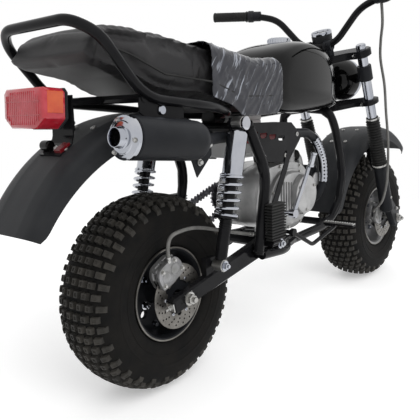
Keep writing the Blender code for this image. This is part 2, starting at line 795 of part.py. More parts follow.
def guard_section(width, radius, thickness, squeeze):
    """Closed section (sideways, radius) of a mudguard with rounded sides that turn inward."""
    half = width / 2
    outer = [(across * half, radius + drop * half * squeeze) for across, drop in GUARD_SECTION_SHARES]
    outer += [(-across, height) for across, height in reversed(outer[:-1])]
    inner = []
    for index, (across, height) in enumerate(outer):
        pull = thickness if abs(across) > half * 0.9 else thickness * abs(across) / half
        sign = 0 if across == 0 else math.copysign(1, across)
        drop = thickness if abs(across) < half * 0.95 else thickness * 0.5
        if index in (0, len(outer) - 1):
            drop = 0
        inner.append((across - sign * pull, height - drop))
    return outer + list(reversed(inner))


def rear_guard_centre():
    """The rear mudguard hangs from the seat rail, whatever its radius."""
    return Vector((-REAR_GUARD_SET_BACK, 0, REAR_GUARD_TOP_SHARE * FRAME_HEIGHT - REAR_MUDGUARD_RADIUS))


def swept_guard(centre, radius, angles, steps=8, end_squeeze=0.55):
    """Mudguard shell swept round its own centre above the tyre."""
    rings = []
    for step in range(steps + 1):
        share = step / steps
        angle = angles[0] + (angles[1] - angles[0]) * share
        squeeze = end_squeeze + (1 - end_squeeze) * math.sin(math.pi * min(1, max(0, share * 0.9 + 0.05)))
        spoke = Vector((math.cos(angle), 0, math.sin(angle)))
        section = guard_section(MUDGUARD_WIDTH, radius, MUDGUARD_THICKNESS, squeeze)
        rings.append([centre + spoke * height + sideways(across) for across, height in section])
    return bridged(rings)


def make_front_mudguard(neighbours):
    centre = FRONT_AXLE - Vector((FRONT_GUARD_SET_BACK, 0, FRONT_GUARD_DROP))
    guard = swept_guard(centre, FRONT_MUDGUARD_RADIUS, FRONT_GUARD_ANGLES)
    strap = flat_bar(LUG_WIDTH, EAR_THICKNESS)
    skirt = MUDGUARD_WIDTH / 2 - MUDGUARD_THICKNESS / 2
    brackets = []
    for side in (-1, 1):
        start = leg_point(GAITER_BOTTOM - SLIDER_RING * 0.2, side)
        start -= sideways(side * SLIDER_DIAMETER * 0.4)
        middle = Vector((start.x + EAR_THICKNESS, side * (skirt + EAR_THICKNESS), start.z + SLIDER_RING))
        end = Vector((start.x + LUG_WIDTH, side * skirt, start.z + SLIDER_RING * 2.2))
        brackets.append(tube([start, middle, end], 0, 0, section=strap))
    return named(seated(fused([guard] + brackets), neighbours), "front_mudguard", "black_plastic")


# Frame routes in side view, as shares of the wheelbase and the frame's height
CRADLE_SHARES = ((0.646, 0.880), (0.688, 0.700), (0.692, 0.570), (0.655, 0.462), (0.590, 0.415),
                 (0.398, 0.400))
UPRIGHT_SHARES = ((0.216, 0.421), (0.254, 0.724), (0.184, 0.915))
SPINE_SHARES = ((0.738, 1.083), (0.630, 0.985), (0.205, 0.935))
RAIL_SHARES = ((0.224, 0.945), (0.160, 0.955), (0.055, 0.981), (-0.115, 1.006), (-0.205, 1.175))
LOOP_SHARE = (-0.232, 1.215)
UPPER_CROSS_SHARE = (0.184, 0.900)


def make_head_and_spine():
    """Head tube with the backbone that runs back under the tank and its gusset."""
    base = HEAD_BASE
    top = HEAD_BASE + FORK_DIRECTION * HEAD_TUBE_LENGTH
    head = rod(base, top, HEAD_TUBE_DIAMETER / 2, 16)
    spine = tube(placed(SPINE_SHARES), SPINE_DIAMETER / 2, SPINE_DIAMETER, 10, 2)
    foot = HEAD_BASE + FORK_DIRECTION * HEAD_TUBE_DIAMETER * 0.4
    neck = placed(SPINE_SHARES)[1]
    strut = rod(foot, neck, CRADLE_DIAMETER / 2, 8)
    channel = bore(base - FORK_DIRECTION * OVERRUN, top + FORK_DIRECTION * OVERRUN, STEM_DIAMETER / 2,
                   RUNNING_GAP, 12)
    return named(cut(fused([head, spine, strut]), [channel]), "head_and_spine", "frame_paint")


def cradle_route(side):
    """Down tube and lower rail of one side; the rail turns outward to pass the swinging arm."""
    points = placed(CRADLE_SHARES, side * CRADLE_SPREAD / 2)
    top = placed([(0.632, 0.955)], side * SPINE_DIAMETER * 0.3)
    shoulder = placed([(0.636, 0.945)], side * CRADLE_SPREAD * 0.42)
    outer = side * UPRIGHT_SPREAD / 2
    rear = placed([(0.330, 0.403), (0.230, 0.415)], outer)
    return top + shoulder + points + rear


def cradle_tube(side):
    return tube(cradle_route(side), CRADLE_DIAMETER / 2, CRADLE_DIAMETER * 1.4, 8, 1)


def make_cradle(name, parts, neighbours):
    """One side's cradle tube with what is welded to it."""
    return named(seated(fused(parts), neighbours), name, "frame_paint")


PIVOT_PLATE_SHARES = ((0.222, 0.402), (0.330, 0.402), (0.340, 0.470), (0.300, 0.545), (0.245, 0.560))
PIVOT_PLATE_THICKNESS = 0.010
PIVOT_PLATE_GAP = 0.0015
PIVOT_BOLT_DIAMETER = 0.018
SHOCK_BOLT_DIAMETER = 0.014
WASHER_DIAMETER = 0.030
WASHER_THICKNESS = 0.004


def upright_parts(side):
    """One rear upright with the pivot plate inside it and the bolt for the shock's top eye."""
    plane = side * UPRIGHT_SPREAD / 2
    upright = tube(placed(UPRIGHT_SHARES, plane), UPRIGHT_DIAMETER / 2, UPRIGHT_DIAMETER * 2, 8, 2)
    inner = side * (ARM_OUTER + PIVOT_PLATE_GAP + PIVOT_PLATE_THICKNESS / 2)
    plate = prism(flat(PIVOT_PLATE_SHARES), PIVOT_PLATE_THICKNESS, side_view(inner))
    arm_face = side * ARM_OUTER
    bolt = rod(SWING_PIVOT + sideways(arm_face + side * GAP), SWING_PIVOT + sideways(plane),
               PIVOT_BOLT_DIAMETER / 2)
    eye = shock_top(side)
    eye_half = SHOCK_EYE_DIAMETER / 2
    plug = rod(eye - sideways(side * SHOCK_EYE_DIAMETER * 1.1),
               eye + sideways(side * (eye_half + WASHER_THICKNESS)), SHOCK_BOLT_DIAMETER / 2)
    washer_start = eye + sideways(side * (eye_half + GAP))
    washer_end = washer_start + sideways(side * WASHER_THICKNESS)
    washer = rod(washer_start, washer_end, WASHER_DIAMETER / 2, 10)
    half = WASHER_DIAMETER / 2
    tab_plane = side * (SHOCK_SPREAD / 2 - SHOCK_EYE_DIAMETER / 2 - GAP) - side * PIVOT_PLATE_THICKNESS / 4
    tab_end = placed([UPRIGHT_SHARES[2]])[0]
    tab = box(((eye.x - half + tab_end.x) / 2, tab_plane, (eye.z + tab_end.z) / 2),
              (tab_end.x - eye.x + half, PIVOT_PLATE_THICKNESS / 2, half * 2))
    return fused([upright, plate, bolt, plug, washer, tab])


def make_uprights(neighbours):
    cross_ends = placed([UPPER_CROSS_SHARE], UPRIGHT_SPREAD / 2)
    cross = rod(cross_ends[0], cross_ends[0] - sideways(UPRIGHT_SPREAD), CRADLE_DIAMETER / 2, 8)
    uprights = fused([upright_parts(1), upright_parts(-1), cross])
    return named(seated(uprights, neighbours), "rear_uprights", "frame_paint")


def rail_route(side):
    outer = side * RAIL_PLANE
    inner = side * UPRIGHT_SPREAD * 0.40
    points = placed(RAIL_SHARES, outer)
    points[0].y = side * SPINE_DIAMETER * 0.3
    points[1].y = inner
    return points


RAIL_PLANE = 0.155


def make_seat_rail(neighbours):
    """Rails under the seat that rise behind it into a grab loop."""
    left = rail_route(1)
    right = rail_route(-1)
    corner = placed([LOOP_SHARE], RAIL_PLANE * 0.7) + placed([LOOP_SHARE], -RAIL_PLANE * 0.7)
    rail = tube(left + corner + list(reversed(right)), RAIL_DIAMETER / 2, RAIL_DIAMETER * 2.5, 8, 2)
    return named(seated(rail, neighbours), "seat_rail", "frame_paint")


CROSS_PLACES = ((0.602, 0.427), (0.430, 0.401))


def crossbars():
    """Bars across the cradle under the engine."""
    bars = []
    for share in CROSS_PLACES:
        place = placed([share])[0]
        reach = sideways(CRADLE_SPREAD / 2)
        bars.append(rod(place - reach, place + reach, CRADLE_DIAMETER * 0.45, 8))
    return bars


# Swinging arm
ARM_OUTER = (ARM_SPREAD + ARM_THICKNESS) / 2
ARM_INNER = (ARM_SPREAD - ARM_THICKNESS) / 2
ARM_TAIL = 0.050
ARM_TAIL_SHARE = 0.7
SHOCK_FOOT_SHARES = (0.076, 0.436)
SHOCK_HEAD_SHARES = (0.151, 0.918)


def shock_foot(side):
    return placed([SHOCK_FOOT_SHARES], side * SHOCK_SPREAD / 2)[0]


def shock_top(side):
    return placed([SHOCK_HEAD_SHARES], side * SHOCK_SPREAD / 2)[0]


def arm_solid(side):
    """Box-section arm from the pivot to the axle, deeper at its front."""
    rings = []
    run = (REAR_AXLE - SWING_PIVOT).normalized()
    lift = Vector((-run.z, 0, run.x)) * -1
    tail = REAR_AXLE + run * ARM_TAIL
    for place, depth in ((SWING_PIVOT, ARM_DEPTH), (tail, ARM_DEPTH * ARM_TAIL_SHARE)):
        middle = side * ARM_SPREAD / 2
        ring = []
        for across, above in flat_bar(ARM_THICKNESS, depth):
            ring.append(place + lift * above + sideways(middle + across))
        rings.append(ring)
    return eased(bridged(rings), ARM_THICKNESS / 6)


def make_swingarm(name, side, with_cross):
    parts = [arm_solid(side)]
    outer = side * ARM_OUTER
    inner = side * ARM_INNER
    boss = rod(SWING_PIVOT + sideways(outer), SWING_PIVOT + sideways(inner), PIVOT_DIAMETER / 2, 12)
    parts.append(boss)
    if with_cross:
        end = -side * (ARM_INNER - GAP)
        start = SWING_PIVOT + sideways(outer - side * OVERRUN)
        parts.append(rod(start, SWING_PIVOT + sideways(end), PIVOT_DIAMETER * 0.45, 12))
    foot = shock_foot(side)
    arm_z = REAR_AXLE.z + (SWING_PIVOT.z - REAR_AXLE.z) * foot.x / SWING_PIVOT.x
    pad = box((foot.x, side * ARM_SPREAD / 2, (foot.z + arm_z) / 2),
              (SHOCK_EYE_DIAMETER * 1.3, ARM_THICKNESS * 0.6, foot.z - arm_z + SHOCK_EYE_DIAMETER))
    inner_face = side * (SHOCK_SPREAD / 2 - SHOCK_EYE_DIAMETER / 2 - GAP)
    bolt = rod(Vector((foot.x, inner_face, foot.z)), Vector((foot.x, side * ARM_SPREAD / 2, foot.z)),
               SHOCK_BOLT_DIAMETER / 2)
    parts += [pad, bolt]
    slot = bore(REAR_AXLE + sideways(side * ARM_SPREAD), REAR_AXLE, AXLE_RADIUS)
    return named(cut(fused(parts), [slot]), name, "frame_paint")


def coil(base, direction, length, diameter, wire, turns, sides=4, steps=6):
    """A coil spring as a helix of round wire."""
    matrix = aimed(base, direction)
    radius = (diameter - wire) / 2
    points = []
    for step in range(turns * steps + 1):
        angle = 2 * math.pi * step / steps
        rise = length * step / (turns * steps)
        points.append(matrix @ Vector((radius * math.cos(angle), radius * math.sin(angle), rise)))
    return tube(points, wire / 2, 0, sides)


SPRING_TURNS = 5
COVER_SHARE = 0.37
SPRING_START_SHARE = 0.34


def make_shock(name, side):
    """Shock absorber: chromed cover over a coil spring round the damper, with an eye at each end."""
    foot = shock_foot(side)
    top = shock_top(side)
    direction = (top - foot).normalized()
    length = (top - foot).length
    matrix = aimed(foot, direction)
    rod_radius = SHOCK_ROD_DIAMETER / 2
    cover = SHOCK_COVER_DIAMETER / 2
    spring_low = length * SPRING_START_SHARE
    cover_low = length * (1 - COVER_SHARE)
    cover_high = length - SHOCK_EYE_DIAMETER * 0.8
    perch = SHOCK_SPRING_DIAMETER / 2
    shelf = spring_low - OVERRUN
    profile = [(rod_radius * 0.8, 0), (rod_radius, SHOCK_EYE_DIAMETER * 0.5), (rod_radius, shelf),
               (perch, shelf), (perch, spring_low), (rod_radius * 0.8, spring_low),
               (rod_radius * 0.8, cover_low), (cover, cover_low), (cover, cover_high - OVERRUN),
               (cover * 0.6, cover_high), (rod_radius * 0.8, length)]
    body = turned(profile, matrix, 8)
    wire = SHOCK_WIRE_DIAMETER
    coil_low = spring_low + wire * 0.2
    spring = coil(foot + direction * coil_low, direction, cover_low - coil_low, SHOCK_SPRING_DIAMETER, wire,
                  SPRING_TURNS)
    eyes = []
    for place in (foot, top):
        half = sideways(SHOCK_EYE_DIAMETER / 2)
        eyes.append(rod(place - half, place + half, SHOCK_EYE_DIAMETER / 2, 10))
    reach = sideways(SHOCK_EYE_DIAMETER)
    holes = [bore(top - reach, top + reach, SHOCK_BOLT_DIAMETER / 2)]
    return named(cut(fused([body, spring] + eyes), holes), name, "chrome")


# Engine
CRANKCASE_SHARES = ((0.300, 0.520), (0.345, 0.470), (0.440, 0.440), (0.500, 0.455), (0.540, 0.520),
                    (0.545, 0.640), (0.500, 0.720), (0.400, 0.730), (0.320, 0.690))
CLUTCH_COVER_SHARES = ((0.340, 0.500), (0.400, 0.465), (0.470, 0.470), (0.520, 0.530), (0.525, 0.640),
                       (0.480, 0.695), (0.400, 0.700), (0.350, 0.620))
COVER_CENTRE_SHARE = (0.470, 0.593)
CYLINDER_FOOT_SHARE = (0.525, 0.590)
CYLINDER_TILT = math.radians(12)
FIN_COUNT = 5
FIN_THICKNESS = 0.003
HEAD_SHARE = 0.38


def make_crankcase(neighbours):
    """Crankcase with its mounting foot and the output sprocket."""
    case = prism(flat(CRANKCASE_SHARES), CRANKCASE_WIDTH, side_view(0.0))
    case = eased(case, 0.5 * OVERRUN)
    mount = placed([CROSS_PLACES[1]])[0]
    foot_size = (CRADLE_DIAMETER, CRANKCASE_WIDTH * 0.5, CRADLE_DIAMETER * 1.4)
    foot = box((mount.x, 0, mount.z + CRADLE_DIAMETER * 0.9), foot_size)
    return named(seated(fused([case, foot, front_sprocket()]), neighbours), "crankcase", "cast_aluminium")


def make_engine_cover(name, side, neighbours):
    """Side cover of the engine with its round lid."""
    depth = (ENGINE_WIDTH - CRANKCASE_WIDTH) / 2
    centre = placed([COVER_CENTRE_SHARE])[0]
    seat = CRANKCASE_WIDTH / 2 + GAP
    plate_depth = depth * 0.55
    plane = side * (seat + plate_depth / 2)
    plate = eased(prism(flat(CLUTCH_COVER_SHARES), plate_depth, side_view(plane)), OVERRUN)
    matrix = aimed(centre + sideways(side * (seat + OVERRUN)), (0, side, 0), Vector((0, 0, 1)))
    radius = COVER_DIAMETER / 2
    face = depth - OVERRUN
    lid = turned([(radius, 0), (radius, face - OVERRUN), (radius - OVERRUN, face)], matrix, 20)
    return named(seated(fused([plate, lid]), neighbours), name, "cast_aluminium")


def cylinder_matrix():
    foot = placed([CYLINDER_FOOT_SHARE])[0]
    return aimed(foot, (math.cos(CYLINDER_TILT), 0, math.sin(CYLINDER_TILT)))


def make_cylinder(neighbours):
    """Finned barrel and head that lie nearly level ahead of the crankcase."""
    matrix = cylinder_matrix()
    length = CYLINDER_LENGTH
    barrel = length * (1 - HEAD_SHARE)
    side = CYLINDER_DIAMETER
    core = box((0, 0, length * 0.4), (side * 0.8, side * 0.8, length * 0.8), matrix)
    head_length = length * HEAD_SHARE
    head = box((0, 0, barrel + head_length / 2), (side * 0.95, side * 0.9, head_length), matrix)
    parts = [core, eased(head, OVERRUN * 2)]
    for fin in range(FIN_COUNT):
        along = barrel * (fin + 1) / (FIN_COUNT + 0.6)
        parts.append(box((0, 0, along), (side * 1.05, side * 1.1, FIN_THICKNESS), matrix))
    cap_matrix = matrix @ Matrix.Translation((0, 0, length - OVERRUN))
    cap = turned([(side * 0.3, 0), (side * 0.3, OVERRUN * 2)], cap_matrix, 12)
    parts.append(cap)
    return named(seated(fused(parts), neighbours), "cylinder_and_head", "cast_aluminium")


CARB_DIAMETER = 0.045
INTAKE_DIAMETER = 0.028
FILTER_DIAMETER = 0.075


def make_carburettor(neighbours):
    """Intake elbow, carburettor and round air filter above the crankcase."""
    matrix = cylinder_matrix()
    port = matrix @ Vector((-CYLINDER_DIAMETER * 0.45, 0, CYLINDER_LENGTH * 0.72))
    port.z += GAP
    top = port + Vector((-INTAKE_DIAMETER * 0.6, 0, INTAKE_DIAMETER * 1.6))
    back = top + Vector((-INTAKE_DIAMETER * 4.5, 0, INTAKE_DIAMETER * 0.3))
    pipe = tube([port, top, back], INTAKE_DIAMETER / 2, INTAKE_DIAMETER, 8, 2)
    middle = top.lerp(back, 0.45)
    body = rod(middle - Vector((0, 0, CARB_DIAMETER)), middle + Vector((0, 0, CARB_DIAMETER * 0.9)),
               CARB_DIAMETER / 2, 12)
    filter_end = back - Vector((FILTER_DIAMETER, 0, 0))
    air_filter = rod(back, filter_end, FILTER_DIAMETER / 2, 14)
    return named(seated(fused([pipe, body, air_filter]), neighbours), "carburettor", "black_plastic")


# Exhaust route: shares of the wheelbase and the frame's height, and of the muffler's plane
EXHAUST_SHARES = ((0.606, 0.560, 0.00), (0.623, 0.520, 0.24), (0.642, 0.600, 0.36), (0.640, 0.720, 0.36),
                  (0.600, 0.815, 0.36), (0.550, 0.850, 0.38), (0.400, 0.862, 0.59), (0.130, 0.870, 0.635),
                  (0.060, 0.868, 0.83), (0.022, 0.870, 0.97))
SHIELD_START = 5
SHIELD_END = 11
MUFFLER_REAR_SHARES = (-0.180, 0.900)
MUFFLER_FRONT_SHARES = (0.015, 0.870)


def exhaust_route():
    return [Vector((along * WHEELBASE, -across * MUFFLER_PLANE, up * FRAME_HEIGHT))
            for along, up, across in EXHAUST_SHARES]


def make_exhaust_pipe(neighbours):
    pipe = tube(rounded(exhaust_route(), PIPE_BEND, 2), PIPE_DIAMETER / 2, 0)
    return named(seated(pipe, neighbours), "exhaust_pipe", "black_muffler")


SHIELD_THICKNESS = 0.002
PIPE_BEND = 0.040


def make_heat_shield(neighbours):
    """Half-round guard over the front bend of the exhaust pipe."""
    route = rounded(exhaust_route(), PIPE_BEND, 2)[SHIELD_START:SHIELD_END]
    inner = PIPE_DIAMETER / 2 + GAP * 3
    outer = inner + SHIELD_THICKNESS
    arc = [math.radians(angle) for angle in (-10, 35, 80, 125, 170)]
    section = [(outer * math.sin(angle) * -1, outer * math.cos(angle)) for angle in arc]
    section += [(inner * math.sin(angle) * -1, inner * math.cos(angle)) for angle in reversed(arc)]
    return named(seated(tube(route, 0, 0, section=section), neighbours), "heat_shield", "zinc_steel")


def muffler_ends():
    front = placed([MUFFLER_FRONT_SHARES], -MUFFLER_PLANE)[0]
    rear = placed([MUFFLER_REAR_SHARES], -MUFFLER_PLANE)[0]
    return front, rear


CAP_THICKNESS = 0.012
OUTLET_DIAMETER = 0.040
OUTLET_LENGTH = 0.022
HANGER_SHARES = ((0.2, -1.9), (1.4, -0.8), (1.4, 0), (-0.6, 0))


def make_muffler(neighbours):
    front, rear = muffler_ends()
    direction = (rear - front).normalized()
    length = (rear - front).length - CAP_THICKNESS
    radius = MUFFLER_DIAMETER / 2
    matrix = aimed(front, direction)
    profile = [(radius * 0.45, 0), (radius * 0.9, radius * 0.35), (radius, radius * 0.7), (radius, length)]
    can = turned(profile, matrix, 18)
    outline = [(radius * along, radius * up) for along, up in HANGER_SHARES]
    plane = Matrix.Translation(front + sideways(radius * 0.6)) @ side_view(0.0)
    hanger = prism(outline, PLATE_THICKNESS, plane)
    return named(seated(fused([can, hanger]), neighbours), "muffler", "black_muffler")


def make_muffler_cap():
    """Polished stepped end cap with its hollow outlet."""
    front, rear = muffler_ends()
    direction = (rear - front).normalized()
    start = rear - direction * (CAP_THICKNESS - GAP)
    matrix = aimed(start, direction)
    outlet = OUTLET_DIAMETER / 2
    radius = MUFFLER_DIAMETER / 2
    wall = PLATE_THICKNESS
    face = CAP_THICKNESS
    end = face + OUTLET_LENGTH
    profile = [(outlet - wall, 0), (radius, 0), (radius, face), (radius * 0.92, face),
               (outlet * 1.5, face + wall), (outlet, face + wall * 2), (outlet, end), (outlet - wall, end)]
    return named(turned(profile, matrix, 18, hollow=True), "muffler_cap", "chrome")


# Foot controls
KICK_SHARES = ((0.362, 0.540), (0.372, 0.560), (0.425, 0.690), (0.435, 0.720))
LEVER_DIAMETER = 0.012
PEDAL_LENGTH = 0.070
GEAR_SHARES = ((0.410, 0.500), (0.500, 0.480))
BRAKE_SHARES = ((0.330, 0.475), (0.420, 0.395), (0.540, 0.440))
BRAKE_PLANE = 0.172
KICK_PLANE = 0.150
PEG_SHARES = (0.250, 0.545)
PEG_LENGTH = 0.100
PEG_WIDTH = 0.068
PEG_THICKNESS = 0.024


def make_kick_lever(neighbours):
    """Kick starter on its shaft, with its pedal folded."""
    kick = placed(KICK_SHARES, -KICK_PLANE)
    shaft_foot = kick[0].copy()
    shaft_foot.y = -CRANKCASE_WIDTH / 2 - OVERRUN
    arm = tube([shaft_foot] + kick, LEVER_DIAMETER / 2, LEVER_DIAMETER, 6, 1)
    end = kick[-1]
    tip = end + Vector((0, -LEVER_DIAMETER, PEDAL_LENGTH * 0.6))
    pedal = rod(end - sideways(LEVER_DIAMETER / 2), tip, LEVER_DIAMETER * 0.8)
    return named(seated(fused([arm, pedal]), neighbours), "kick_lever", "zinc_steel")


def make_gear_lever(neighbours):
    gear = placed(GEAR_SHARES, KICK_PLANE)
    foot = gear[0].copy()
    foot.y = CRANKCASE_WIDTH / 2 + OVERRUN
    end = gear[-1] + sideways(PEDAL_LENGTH * 0.6)
    lever = tube([foot] + gear + [end], LEVER_DIAMETER / 2, LEVER_DIAMETER, 6, 1)
    return named(seated(lever, neighbours), "gear_lever", "zinc_steel")


def make_brake_pedal(neighbours):
    brake = placed(BRAKE_SHARES, -BRAKE_PLANE)
    foot = brake[0].copy()
    foot.y = -UPRIGHT_SPREAD / 2 + UPRIGHT_DIAMETER * 0.4
    end = brake[-1] + sideways(PEDAL_LENGTH * 0.5)
    pedal = tube([foot] + brake + [end], LEVER_DIAMETER / 2, LEVER_DIAMETER, 6, 1)
    return named(seated(pedal, neighbours), "brake_pedal", "frame_paint")


def make_footpeg(side):
    """Ribbed rubber peg, folded up outside the rear upright, on a bracket from the pivot plate."""
    plane = side * (UPRIGHT_SPREAD / 2 + UPRIGHT_DIAMETER / 2 + PEG_THICKNESS / 2 + OVERRUN)
    place = placed([PEG_SHARES], plane)[0]
    peg = eased(box(place, (PEG_WIDTH, PEG_THICKNESS, PEG_LENGTH)), OVERRUN)
    low = place.z - PEG_LENGTH / 2
    inner = side * (ARM_OUTER + PIVOT_PLATE_GAP + PIVOT_PLATE_THICKNESS + GAP)
    bracket = box((place.x, (plane + inner) / 2, low - LEVER_DIAMETER / 2),
                  (PEG_WIDTH * 0.45, abs(plane - inner), LEVER_DIAMETER * 2))
    return named(fused([peg, bracket]), "footpeg_" + SIDE_NAMES[side], "black_rubber")


# Side plates
SIDE_PLATE_SHARES = ((0.184, 0.915), (0.302, 0.913), (0.378, 0.907), (0.424, 0.851), (0.414, 0.831),
                     (0.364, 0.749), (0.240, 0.767))
SIDE_PLATE_PLANE = UPRIGHT_SPREAD / 2 - UPRIGHT_DIAMETER / 2 - PLATE_THICKNESS / 2
SLOT_SHARES = ((0.245, 0.865), (0.290, 0.850), (0.335, 0.835))
SLOT_LENGTH = 0.040
SLOT_HEIGHT = 0.014


def make_side_plate(side, neighbours):
    """Black plate over the middle of the frame, with a row of plain slots."""
    plate = prism(flat(SIDE_PLATE_SHARES), PLATE_THICKNESS, side_view(side * SIDE_PLATE_PLANE))
    slots = []
    for share in SLOT_SHARES:
        place = placed([share], side * SIDE_PLATE_PLANE)[0]
        slots.append(box(place, (SLOT_LENGTH, PLATE_THICKNESS * 4, SLOT_HEIGHT)))
    return named(seated(cut(plate, slots), neighbours), "side_plate_" + SIDE_NAMES[side], "frame_paint")


TOOL_BOX_SHARES = (0.290, 0.858)
TOOL_BOX_SIZE = (0.110, 0.130, 0.115)


def make_tool_box(neighbours):
    place = placed([TOOL_BOX_SHARES])[0]
    case = eased(box(place, TOOL_BOX_SIZE), OVERRUN)
    return named(seated(case, neighbours), "battery_box", "red_plastic")


# Tank and seat
TANK_SHARES = ((0.345, 0.958), (0.640, 0.958), (0.655, 1.010), (0.655, 1.110), (0.610, 1.205), (0.520, 1.245),
               (0.420, 1.225), (0.350, 1.150))
TANK_CAP_DIAMETER = 0.070
TANK_CAP_HEIGHT = 0.014
SEAT_TOP_SHARES = ((-0.225, 1.150), (-0.190, 1.200), (-0.060, 1.205), (0.080, 1.185), (0.240, 1.140),
                   (0.320, 1.150), (0.342, 1.130))
SEAT_BASE_SHARES = ((0.342, 0.962), (0.260, 0.956), (0.180, 0.956), (0.085, 1.002), (-0.130, 1.040),
                    (-0.225, 1.060))


def rounded_slab(outline, width, narrow_share, ease, segments=1):
    """A side outline extruded across, drawn in at its sides and eased along its edges."""
    half = width / 2
    centre = Vector((sum(x for x, z in outline) / len(outline), 0, sum(z for x, z in outline) / len(outline)))
    rings = []
    for across, share in ((-half, narrow_share), (-half * 0.8, 1.0), (half * 0.8, 1.0), (half, narrow_share)):
        ring = []
        for x, z in outline:
            point = centre.lerp(Vector((x, 0, z)), share)
            ring.append(Vector((point.x, across, point.z)))
        rings.append(ring)
    return eased(bridged(rings), ease, segments, math.radians(30))


def make_fuel_tank(neighbours):
    tank = rounded_slab(flat(TANK_SHARES), TANK_WIDTH, 0.90, TANK_CAP_HEIGHT, 2)
    top = placed([(0.500, 1.235)])[0]
    cap = rod(top, top + Vector((0, 0, TANK_CAP_HEIGHT * 1.6)), TANK_CAP_DIAMETER / 2, 16)
    return named(seated(fused([tank, cap]), neighbours), "fuel_tank", "gloss_black")


def make_seat(neighbours):
    outline = flat(SEAT_BASE_SHARES + SEAT_TOP_SHARES)
    seat = rounded_slab(outline, SEAT_WIDTH, 0.93, TANK_CAP_HEIGHT)
    return named(seated(seat, neighbours), "seat", "seat_vinyl")


def make_rear_mudguard(neighbours):
    guard = swept_guard(rear_guard_centre(), REAR_MUDGUARD_RADIUS, REAR_GUARD_ANGLES)
    return named(seated(guard, neighbours), "rear_mudguard", "black_plastic")


# Tail lamp
LAMP_SHARES = (-0.218, 0.982)
LAMP_DEPTH = 0.060
LAMP_CHAMFER = 0.025
LAMP_BRACKET_WIDTH = 0.070
LAMP_TIP = math.radians(3.4)


def make_tail_lamp():
    """Tail lamp with chamfered lower corners, facing back and tipped with its bracket."""
    place = placed([LAMP_SHARES])[0]
    half = LAMP_WIDTH / 2
    high = LAMP_HEIGHT / 2
    corner = LAMP_CHAMFER / 3
    outline = [(-half + LAMP_CHAMFER, -high), (half - LAMP_CHAMFER, -high), (half, -high + LAMP_CHAMFER),
               (half, high - corner), (half - corner, high), (-half + corner, high), (-half, high - corner),
               (-half, -high + LAMP_CHAMFER)]
    matrix = aimed(place, (-math.cos(LAMP_TIP), 0, math.sin(LAMP_TIP)), Vector((0, 0, 1)))
    lens = prism(outline, LAMP_DEPTH, matrix)
    return named(eased(lens, OVERRUN), "tail_lamp", "red_lens")


def make_lamp_bracket(neighbours):
    """Sheet bracket that carries the tail lamp, with a cross bar to the grab loop's rails."""
    place = placed([LAMP_SHARES])[0]
    front = place + Vector((LAMP_DEPTH / 2, 0, 0))
    plate = box((front.x + PLATE_THICKNESS, 0, front.z - LAMP_HEIGHT * 0.1),
                (PLATE_THICKNESS * 2, LAMP_BRACKET_WIDTH, LAMP_HEIGHT * 0.9))
    rail = placed([RAIL_SHARES[3]], 0)[0]
    cross = rod(rail + sideways(-RAIL_PLANE), rail + sideways(RAIL_PLANE), RAIL_DIAMETER * 0.4, 8)
    arms = []
    for side in (-1, 1):
        end = front + Vector((0, side * LAMP_BRACKET_WIDTH * 0.4, LAMP_HEIGHT * 0.15))
        arms.append(tube([rail + sideways(side * LAMP_BRACKET_WIDTH * 0.4), end], RAIL_DIAMETER * 0.35, 0))
    tongue = tube([front + Vector((PLATE_THICKNESS, 0, 0)), front + Vector((0, 0, -LAMP_HEIGHT * 0.9)),
                   front + Vector((-LAMP_DEPTH * 0.6, 0, -LAMP_HEIGHT * 1.15))], 0, LAMP_DEPTH / 3, steps=2,
                  section=flat_bar(LAMP_BRACKET_WIDTH, PLATE_THICKNESS))
    return named(seated(fused([plate, cross, tongue] + arms), neighbours), "lamp_bracket", "frame_paint")


# Brakes and chain
CALIPER_LENGTH = 0.080
CALIPER_HEIGHT = 0.055
CALIPER_WIDTH = 0.036
CALIPER_REACH = 0.079
CALIPER_PLATE_THICKNESS = 0.004
REAR_CALIPER_ANGLE = math.radians(118)
FRONT_CALIPER_ANGLE = math.radians(160)
HOSE_DIAMETER = 0.009


def make_caliper(name, axle, angle, neighbours, arm_face=0.0):
    """Disc brake caliper with the slot that straddles the disc; a plate ties it to an arm's axle."""
    spoke = Vector((math.cos(angle), 0, math.sin(angle)))
    along = Vector((-spoke.z, 0, spoke.x))
    matrix = Matrix((along, Vector((0, 1, 0)), spoke)).transposed().to_4x4()
    matrix = Matrix.Translation(axle + spoke * CALIPER_REACH) @ matrix
    body = eased(box((0, -DISC_PLANE, 0), (CALIPER_LENGTH, CALIPER_WIDTH, CALIPER_HEIGHT), matrix), OVERRUN)
    slot_radius = DISC_DIAMETER / 2 + OVERRUN
    slot = ring_plate(axle, -DISC_PLANE, slot_radius, HUB_DIAMETER / 4, DISC_THICKNESS + OVERRUN)
    parts = [body]
    if arm_face:
        outer = -arm_face + GAP
        inner = outer + CALIPER_PLATE_THICKNESS
        eye = rod(axle + sideways(outer), axle + sideways(inner), CALIPER_LENGTH / 4, 16)
        size = (CALIPER_LENGTH * 0.45, CALIPER_PLATE_THICKNESS, CALIPER_REACH)
        blade = box((0, (outer + inner) / 2, -CALIPER_REACH / 2), size, matrix)
        parts += [eye, blade]
    made = cut(fused(parts), [slot])
    if arm_face:
        reach = sideways(ARM_SPREAD)
        made = cut(made, [bore(axle - reach, axle + reach, AXLE_RADIUS)])
    return named(seated(made, neighbours), name, "cast_aluminium")


